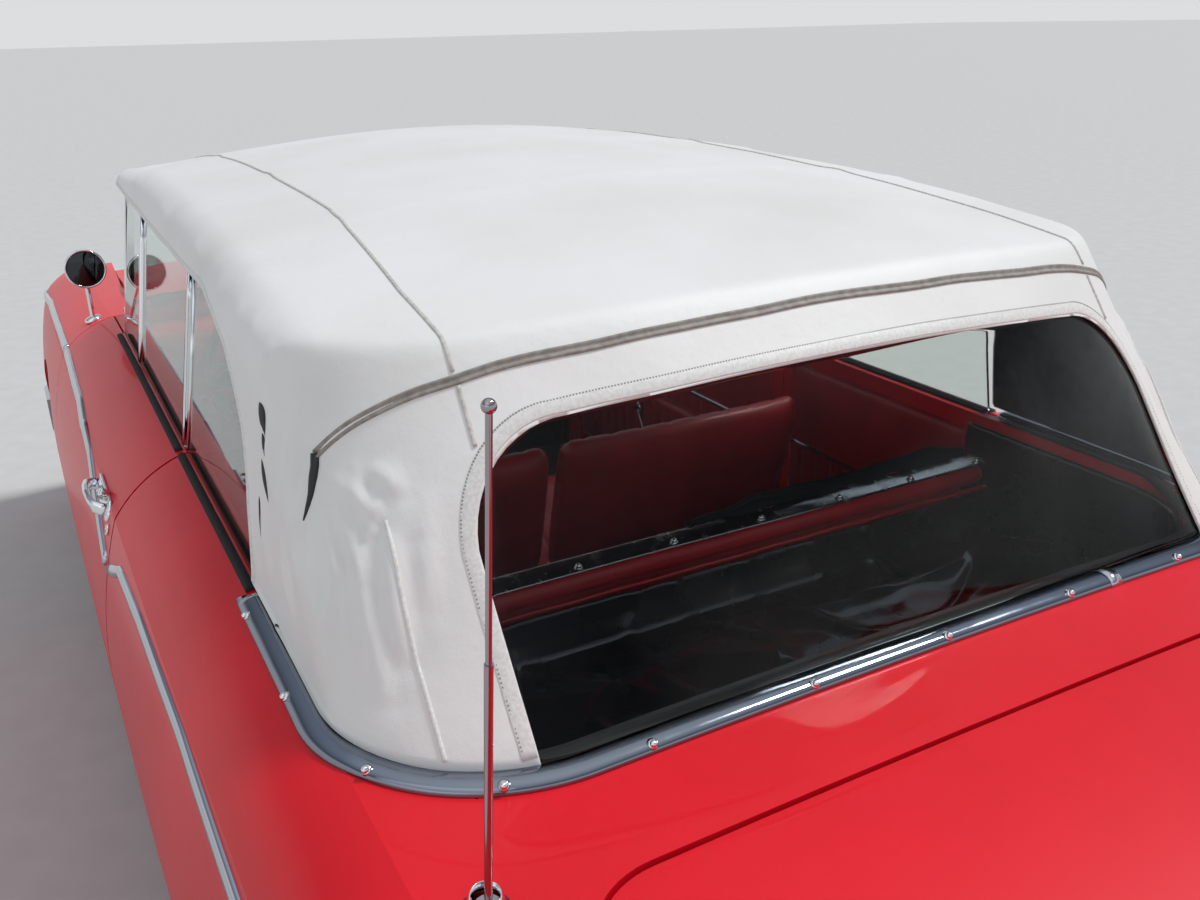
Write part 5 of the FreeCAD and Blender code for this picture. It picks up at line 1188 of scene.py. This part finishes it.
skirt_side, skirt_turn_x, skirt_turn_y, skirt_rear = 0.7105, 0.5105, 1.115, 1.315
skirt_foot, skirt_top, skirt_height, skirt_rows = 0.790, 0.968, 0.178, 20
skirt_plan = [(skirt_side, y) for y in np.linspace(0.735, skirt_turn_y, 40)]
skirt_plan += [(skirt_turn_x + liner_corner * math.cos(t), skirt_turn_y + liner_corner * math.sin(t))
               for t in np.linspace(0, math.pi / 2, 30)[1:]]
skirt_plan += [(x, skirt_rear) for x in np.linspace(0.50, 0.0, 30)]
skirt_plan += [(-x, y) for x, y in reversed(skirt_plan[:-1])]
skirt_points = []
for z in np.linspace(skirt_foot, skirt_top, skirt_rows):
    bulge = math.sin(math.pi * (z - skirt_foot) / skirt_height)
    for k, (x, y) in enumerate(skirt_plan):
        inward = Vector((-x, max(0.9, min(y, 1.1)) - y, 0)).normalized()
        wander = 2.0 * noise.noise(Vector((x * 3, y * 3, z * 9)))
        pucker = 0.0028 * (1 + math.sin(k * 1.15 + wander)) * bulge
        skirt_points.append(Vector((x, y, z)) + inward * (0.002 + pucker))
skirt = sheet_piece("well_skirt", skirt_points, skirt_rows, len(skirt_plan), (0, 0, 0.01), 0.0014,
                    liner_vinyl)
outwards(skirt)
fit([liner, skirt], stands_for="well_liner")

ledge_lines = [[on_skin(body_skin, x, y) for x, y in belt_plan(distance)]
               for distance in (-0.0405, -0.030, -0.020, -0.009)]
kept = [i for i, p in enumerate(ledge_lines[0])
        if p.y > 0.800 and all(line[i].z > 0.93 for line in ledge_lines)]
ledge_points = [line[i] + Vector((0, 0, 0.0022)) for line in ledge_lines for i in kept]
ledge = sheet_piece("well_ledge", ledge_points, 4, len(kept), (0, 0, 1), 0.0014, black_rubber)
fit([ledge])

# Stowed edge of the black cloth on the seat back: a gathered selvedge that stands in a low wave, and the cloth
# that runs back from it onto the strip.
selvedge = finish("cloth_selvedge", (0.012, 0.012, 0.013), 0.8)
grain(selvedge, 260.0, 0.0012, kind="ShaderNodeTexWave")
cloth_wave = ([-0.02, 0.06, 0.13, 0.22, 0.34, 0.46, 0.56, 0.64],
              [0.926, 0.932, 0.946, 0.944, 0.941, 0.948, 0.951, 0.934])
edge_path = [Vector((x, 0.786 + 0.003 * math.sin(x * 60), float(np.interp(-x, *cloth_wave))))
             for x in np.linspace(0.02, -0.64, 260)]
edge_section = round_rope(0.006, 8)
edge_roll = swept("cloth_edge_roll", edge_path, [upwards] * 260, edge_section, selvedge)
for k, v in enumerate(edge_roll.data.vertices):
    step = k // len(edge_section)
    v.co += (v.co - edge_path[step]) * 0.35 * math.sin(step * 2.1)
fold_path, fold_rows, fold_points = edge_path[::3], 9, []
for t in np.linspace(0, 1, fold_rows):
    fold_points += [(p.x, p.y + 0.016 * t + 0.004 * math.sin(p.x * 45) * t,
                     p.z * (1 - t) + 0.9290 * t + 0.004 * math.sin(math.pi * t)) for p in fold_path]
cloth_fold = sheet_piece("cloth_fold", fold_points, fold_rows, len(fold_path), (0, 0, 1), 0.0014, selvedge)
fit([edge_roll, cloth_fold])


# Inner panels of doors and quarters: boards in pleated red vinyl, with a bright strip and, on each door, an arm
# rest, a window crank and a latch lever.
def trim_board(name, side, low, high):
    """A padded board between two corners (y, z), with a pleated band between two seams."""
    rows, columns, points = 46, 112, []
    spacing, foot_seam, head_seam = 0.055, low[1] + 0.10, high[1] - 0.22
    for z in np.linspace(low[1], high[1], rows):
        for y in np.linspace(low[0], high[0], columns):
            rim = min(y - low[0], high[0] - y, z - low[1], high[1] - z)
            swell_out = 0.0072 * (1 - math.exp(-max(rim, 0) / 0.008))
            off = abs(((y - low[0]) / spacing + 0.5) % 1.0 - 0.5) * spacing
            groove = 0.0035 * math.exp(-(off / 0.005) ** 2) * ((z - foot_seam) * (head_seam - z) > 0)
            seam = 0.003 * sum(math.exp(-((z - at) / 0.004) ** 2) for at in (foot_seam, head_seam))
            points.append((side * (0.7140 - max(swell_out - groove - seam, 0.0)), y, z))
    return sheet_piece(name, points, rows, columns, (-side, 0, 0), 0.0008, seat_vinyl)


board_face_x = 0.7065
rest_section = [(0.024 * math.copysign(abs(math.cos(t)) ** 0.6, math.cos(t)),
                 0.021 * math.copysign(abs(math.sin(t)) ** 0.6, math.sin(t)))
                for t in np.linspace(0, 2 * math.pi, 25)[:-1]]
knob_section = [(-0.002, 0), (-0.002, 0.008), (0.010, 0.0085), (0.016, 0.0105), (0.021, 0.009), (0.024, 0.0)]
for side, label in sides:
    door, inward = label + "_door", Vector((-side, 0, 0))
    fit([trim_board("door_board_" + label, side, (-1.045, 0.380), (0.062, 0.945))], door)
    fit([trim_board("quarter_board_" + label, side, (0.140, 0.440), (0.728, 0.950))])
    for part, body, first, last, z in (("board_strip_", door, -1.030, 0.048, 0.735),
                                       ("quarter_board_strip_", "car_body", 0.155, 0.715, 0.740)):
        line = [Vector((side * board_face_x, y, z)) for y in np.linspace(first, last, 20)]
        strip = swept(part + label, line, [inward] * 20, half_round(0.014, 0.004, 6), trim_steel)
        fit([strip], body)
    rest_path = [Vector((side * 0.687, y, 0.662 + 0.006 * math.sin(math.pi * (y + 0.50) / 0.40)))
                 for y in np.linspace(-0.50, -0.10, 40)]
    arm_rest = swept("arm_rest_" + label, rest_path, [upwards] * 40, rest_section, seat_vinyl)
    for k, v in enumerate(arm_rest.data.vertices):
        step = k // len(rest_section)
        draw_in = math.sqrt(max(0.06, 1 - (abs(step - 19.5) / 19.5) ** 8))
        v.co = rest_path[step] + (v.co - rest_path[step]) * draw_in
    fit([arm_rest], door)
    levers = (("crank", -0.62, 0.600, 0.085, 0.9), ("latch", -0.80, 0.795, 0.070, 0.2))
    for part, y, z, length, lean_down in levers:
        hub_at, stand_off = Vector((side * board_face_x, y, z)), Vector((-side * 0.010, 0, 0))
        hub = turned(part + "_hub_" + label, button_profile(0.019, 0.012), hub_at, inward, plate, 32)
        tip = hub_at + Vector((-side * 0.016, length * math.cos(lean_down), -length * math.sin(lean_down)))
        lever_line = [hub_at + stand_off + (tip - hub_at - stand_off) * t for t in np.linspace(0, 1, 6)]
        lever = swept(part + "_lever_" + label, lever_line, [inward] * 6, channel(0.010, 0.007), plate)
        fit([hub, lever], door)
        if part == "crank":
            knob = turned("crank_knob_" + label, knob_section, tip, inward, black_rubber, 28)
            fit([knob], door)

# Dashboard: painted steel with a hooded cluster of round dials, a plain radio panel, a glove box lid and knobs.
# The padded crash roll of later cars isn't there.
dress(paint, "dashboard")
dial_black = finish("dial_face", (0.018, 0.019, 0.021), 0.4)
mottle(dial_black, "Base Color", (0.014, 0.015, 0.017), (0.026, 0.027, 0.030), 50.0)
dial_white = finish("dial_marks", (0.78, 0.78, 0.72), 0.5)
mottle(dial_white, "Base Color", (0.74, 0.74, 0.67), (0.80, 0.80, 0.75), 90.0)
needle_red = finish("needle_red", (0.60, 0.06, 0.02), 0.4)
mottle(needle_red, "Base Color", (0.56, 0.05, 0.02), (0.64, 0.07, 0.03), 70.0)
dash_skin = surface("dashboard")


def on_dash(x, z, lift=0.0):
    return met(dash_skin, (x, -0.5, z), (0, -1, 0), lift)


needle_section, needle_angle = mirrored([(-0.0012, -0.0006), (-0.0012, 0.0006)]), 2.6
across = Vector((1, 0, 0))
dials = (("speed", 0.370, 0.822, 0.058, 25, 260), ("fuel", 0.505, 0.822, 0.032, 5, 260),
         ("heat", 0.235, 0.822, 0.032, 5, 260), ("clock", 0.0, 0.880, 0.026, 12, 330))
for name, x, z, radius, marks, sweep in dials:
    centre, axis = on_dash(x, z)
    face_section = [(-0.003, 0), (-0.003, radius), (0.003, radius), (0.0035, radius * 0.9), (0.0035, 0)]
    ring_section = [(-0.003, radius * 0.98), (-0.003, radius * 1.12), (0.009, radius * 1.10),
                    (0.012, radius * 1.04), (0.009, radius * 0.98)]
    face = turned(name + "_dial_face", face_section, centre, axis, dial_black, 64)
    ring = turned(name + "_dial_ring", ring_section, centre, axis, plate, 64, ring=True)
    up = axis.cross(across).normalized()
    up = up if up.z > 0 else -up
    span = math.radians(sweep)
    angles = [math.pi / 2 + span / 2 - span * k / (marks - 1) for k in range(marks)]
    outs = [across * math.cos(t) + up * math.sin(t) for t in angles]
    places = [centre + axis * 0.0042 + out * radius * 0.82 for out in outs]
    ticks = repeat_on(name + "_dial_marks", places, outs, dial_white, small_block,
                      block_size(0.0016, 0.0016, radius * 0.16))
    point, pin = across * math.cos(needle_angle) + up * math.sin(needle_angle), centre + axis * 0.006
    needle = swept(name + "_needle", [pin - point * radius * 0.15, pin + point * radius * 0.70], [axis] * 2,
                   needle_section, needle_red)
    fit([face])
    fit([ring, ticks, needle])
knob_section = [(-0.003, 0), (-0.003, 0.006), (0.010, 0.006), (0.012, 0.0125), (0.021, 0.0135),
                (0.024, 0.011), (0.025, 0)]
knobs = ((0.600, 0.770), (0.560, 0.760), (0.180, 0.760), (0.140, 0.770), (0.075, 0.790), (-0.075, 0.790))
for k, (x, z) in enumerate(knobs):
    fit([turned("dash_knob_%d" % k, knob_section, *on_dash(x, z), plate, 32)])


def dash_frame(name, x0, x1, z0, z1, profile, material):
    """A strip laid on the dashboard round a rectangle with rounded corners."""
    soft, loop = 0.018, []
    for cx, cz, start in ((x1 - soft, z1 - soft, 0), (x0 + soft, z1 - soft, 90), (x0 + soft, z0 + soft, 180),
                          (x1 - soft, z0 + soft, 270)):
        turns = [math.radians(start + a) for a in (0, 22, 45, 68, 90)]
        loop += [(cx + soft * math.cos(t), cz + soft * math.sin(t)) for t in turns]
    return laid_strip(name, [on_dash(x, z) for x, z in loop], profile, material, closed=True)


fit([dash_frame("glove_box_frame", -0.600, -0.260, 0.755, 0.875, half_round(0.006, 0.003, 6), trim_steel),
     dash_frame("radio_frame", -0.105, 0.105, 0.765, 0.848, half_round(0.008, 0.005, 6), plate)])
for k in range(9):
    line = [on_dash(x, 0.777 + 0.0068 * k, 0.0006)[0] for x in (-0.055, 0.055)]
    slat = swept("radio_slat_%d" % k, line, [on_dash(0.0, 0.80)[1]] * 2, half_round(0.004, 0.003, 5), plate)
    fit([slat])
fit([turned("glove_box_button", button_profile(0.010, 0.012), *on_dash(-0.430, 0.862, 0.002), plate, 28)])

# Steering wheel: black moulded rim and spokes with finger grips, a bright half ring for the horn and a domed hub.
# The column slopes up towards the driver.
wheel_plastic = finish("wheel_plastic", (0.020, 0.020, 0.021), 0.28)
mottle(wheel_plastic, "Roughness", 0.20, 0.40, 30.0)
grain(wheel_plastic, 520.0, 0.0001)
dress(wheel_plastic, "steering_wheel")
wheel_centre, column_axis = Vector((0.370, -0.620, 0.905)), Vector((0, 0.82, 0.57)).normalized()
wheel_up = across.cross(column_axis).normalized()


def round_wheel(angles):
    """Directions from the steering wheel's centre in the plane of its rim."""
    return [across * math.cos(t) + wheel_up * math.sin(t) for t in angles]


hub_section = [(-0.004, 0), (-0.004, 0.036), (0.010, 0.036), (0.020, 0.030), (0.028, 0.018), (0.031, 0.0)]
hub_cap = turned("horn_hub", hub_section, wheel_centre + column_axis * 0.008, column_axis, plate, 56)
horn_line = [wheel_centre + column_axis * 0.016 + out * 0.125
             for out in round_wheel(np.linspace(math.radians(182), math.radians(358), 60))]
horn_ring = swept("horn_ring", horn_line, [column_axis] * 60, round_rope(0.0045), plate)
horn_arms = swept("horn_arms", [horn_line[0], wheel_centre + column_axis * 0.020, horn_line[-1]],
                  [column_axis] * 3, channel(0.012, 0.006), plate)
grip_outs = round_wheel(np.linspace(0, 2 * math.pi, 73)[:-1])
grips = repeat_on("rim_grips", [wheel_centre + out * 0.1990 for out in grip_outs], grip_outs, wheel_plastic,
                  small_block, block_size(0.0080, 0.0080, 0.0070))
fit([hub_cap, horn_ring, horn_arms])
fit([grips])

# The place: a plain pale floor, a soft key light and a weak fill, and a sky that is bright at the horizon, dark
# above it and pale overhead. The sky is weaker as a light than as what is seen or mirrored.
floor_finish = finish("studio_floor", (0.60, 0.60, 0.59), 0.9)
mottle(floor_finish, "Base Color", (0.585, 0.585, 0.575), (0.615, 0.615, 0.605), 9.0)
floor_half = 150
floor_corners = [(x * floor_half, y * floor_half, 0.0) for x, y in ((-1, -1), (1, -1), (1, 1), (-1, 1))]
floor = new_piece("studio_floor", floor_corners, [(0, 1, 2, 3)], [floor_finish])
world = bpy.data.worlds.new("studio")
bpy.context.scene.world = world
world.use_nodes = True
sky_tree = world.node_tree
direction = sky_tree.nodes.new("ShaderNodeTexCoord")
parts_of = sky_tree.nodes.new("ShaderNodeSeparateXYZ")
sky = sky_tree.nodes.new("ShaderNodeValToRGB")
for stop, tone in zip(sky.color_ramp.elements, ((0.80, 0.81, 0.82, 1), (0.95, 0.97, 1.0, 1))):
    stop.color = tone
tones = ((0.22, (0.74, 0.76, 0.79, 1)), (0.38, (0.16, 0.18, 0.22, 1)), (0.62, (0.42, 0.47, 0.56, 1)))
for height, tone in tones:
    sky.color_ramp.elements.new(height).color = tone
seen = sky_tree.nodes.new("ShaderNodeLightPath")
looked_at, through = (sky_tree.nodes.new("ShaderNodeMath") for _ in range(2))
looked_at.operation = through.operation = "MAXIMUM"
strength = sky_tree.nodes.new("ShaderNodeMapRange")
strength.inputs["To Min"].default_value, strength.inputs["To Max"].default_value = 0.62, 0.90
wire(sky_tree, (seen, "Is Camera Ray", looked_at, 0), (seen, "Is Glossy Ray", looked_at, 1),
     (looked_at, "Value", through, 0), (seen, "Is Transmission Ray", through, 1),
     (through, "Value", strength, "Value"), (strength, "Result", sky_tree.nodes["Background"], "Strength"),
     (direction, "Generated", parts_of, "Vector"), (parts_of, "Z", sky, "Fac"),
     (sky, "Color", sky_tree.nodes["Background"], "Color"))


def soft_sun(name, direction, strength_there, spread):
    data = bpy.data.lights.new(name, "SUN")
    data.energy, data.angle = strength_there, math.radians(spread)
    lamp = bpy.data.objects.new(name, data)
    lamp.location = -Vector(direction) * 8
    lamp.rotation_mode = "QUATERNION"
    lamp.rotation_quaternion = Vector(direction).to_track_quat("-Z", "Y")
    bpy.context.scene.collection.objects.link(lamp)


soft_sun("key", (0.56, -0.10, -0.82), 2.1, 11.0)
soft_sun("fill", (-0.70, -0.45, -0.55), 0.35, 60.0)

# The camera stands behind the left quarter and looks down over it to the front right. Its place, its turn and its
# lens were solved from the photo's straight lines.
eye = Vector((0.9741, 2.2743, 1.7616))
yaw, pitch, tilt = math.radians(27.886), math.radians(21.343), math.radians(-1.2917)
focal_pixels, frame_pixels = 1101.65, 1200
ahead = Vector((-math.sin(yaw) * math.cos(pitch), -math.cos(yaw) * math.cos(pitch), -math.sin(pitch)))
level = Vector((-math.cos(yaw), math.sin(yaw), 0))
above = level.cross(ahead)
right = math.cos(tilt) * level + math.sin(tilt) * above
above = -math.sin(tilt) * level + math.cos(tilt) * above
camera_data = bpy.data.cameras.new("camera")
camera_data.sensor_width = 36.0
camera_data.lens = camera_data.sensor_width * focal_pixels / frame_pixels
camera_data.clip_start = 0.05
camera = bpy.data.objects.new("camera", camera_data)
camera.matrix_world = Matrix.Translation(eye) @ Matrix((right, above, -ahead)).transposed().to_4x4()
bpy.context.scene.collection.objects.link(camera)
bpy.context.scene.camera = camera
bpy.context.scene.view_settings.view_transform = "Standard"
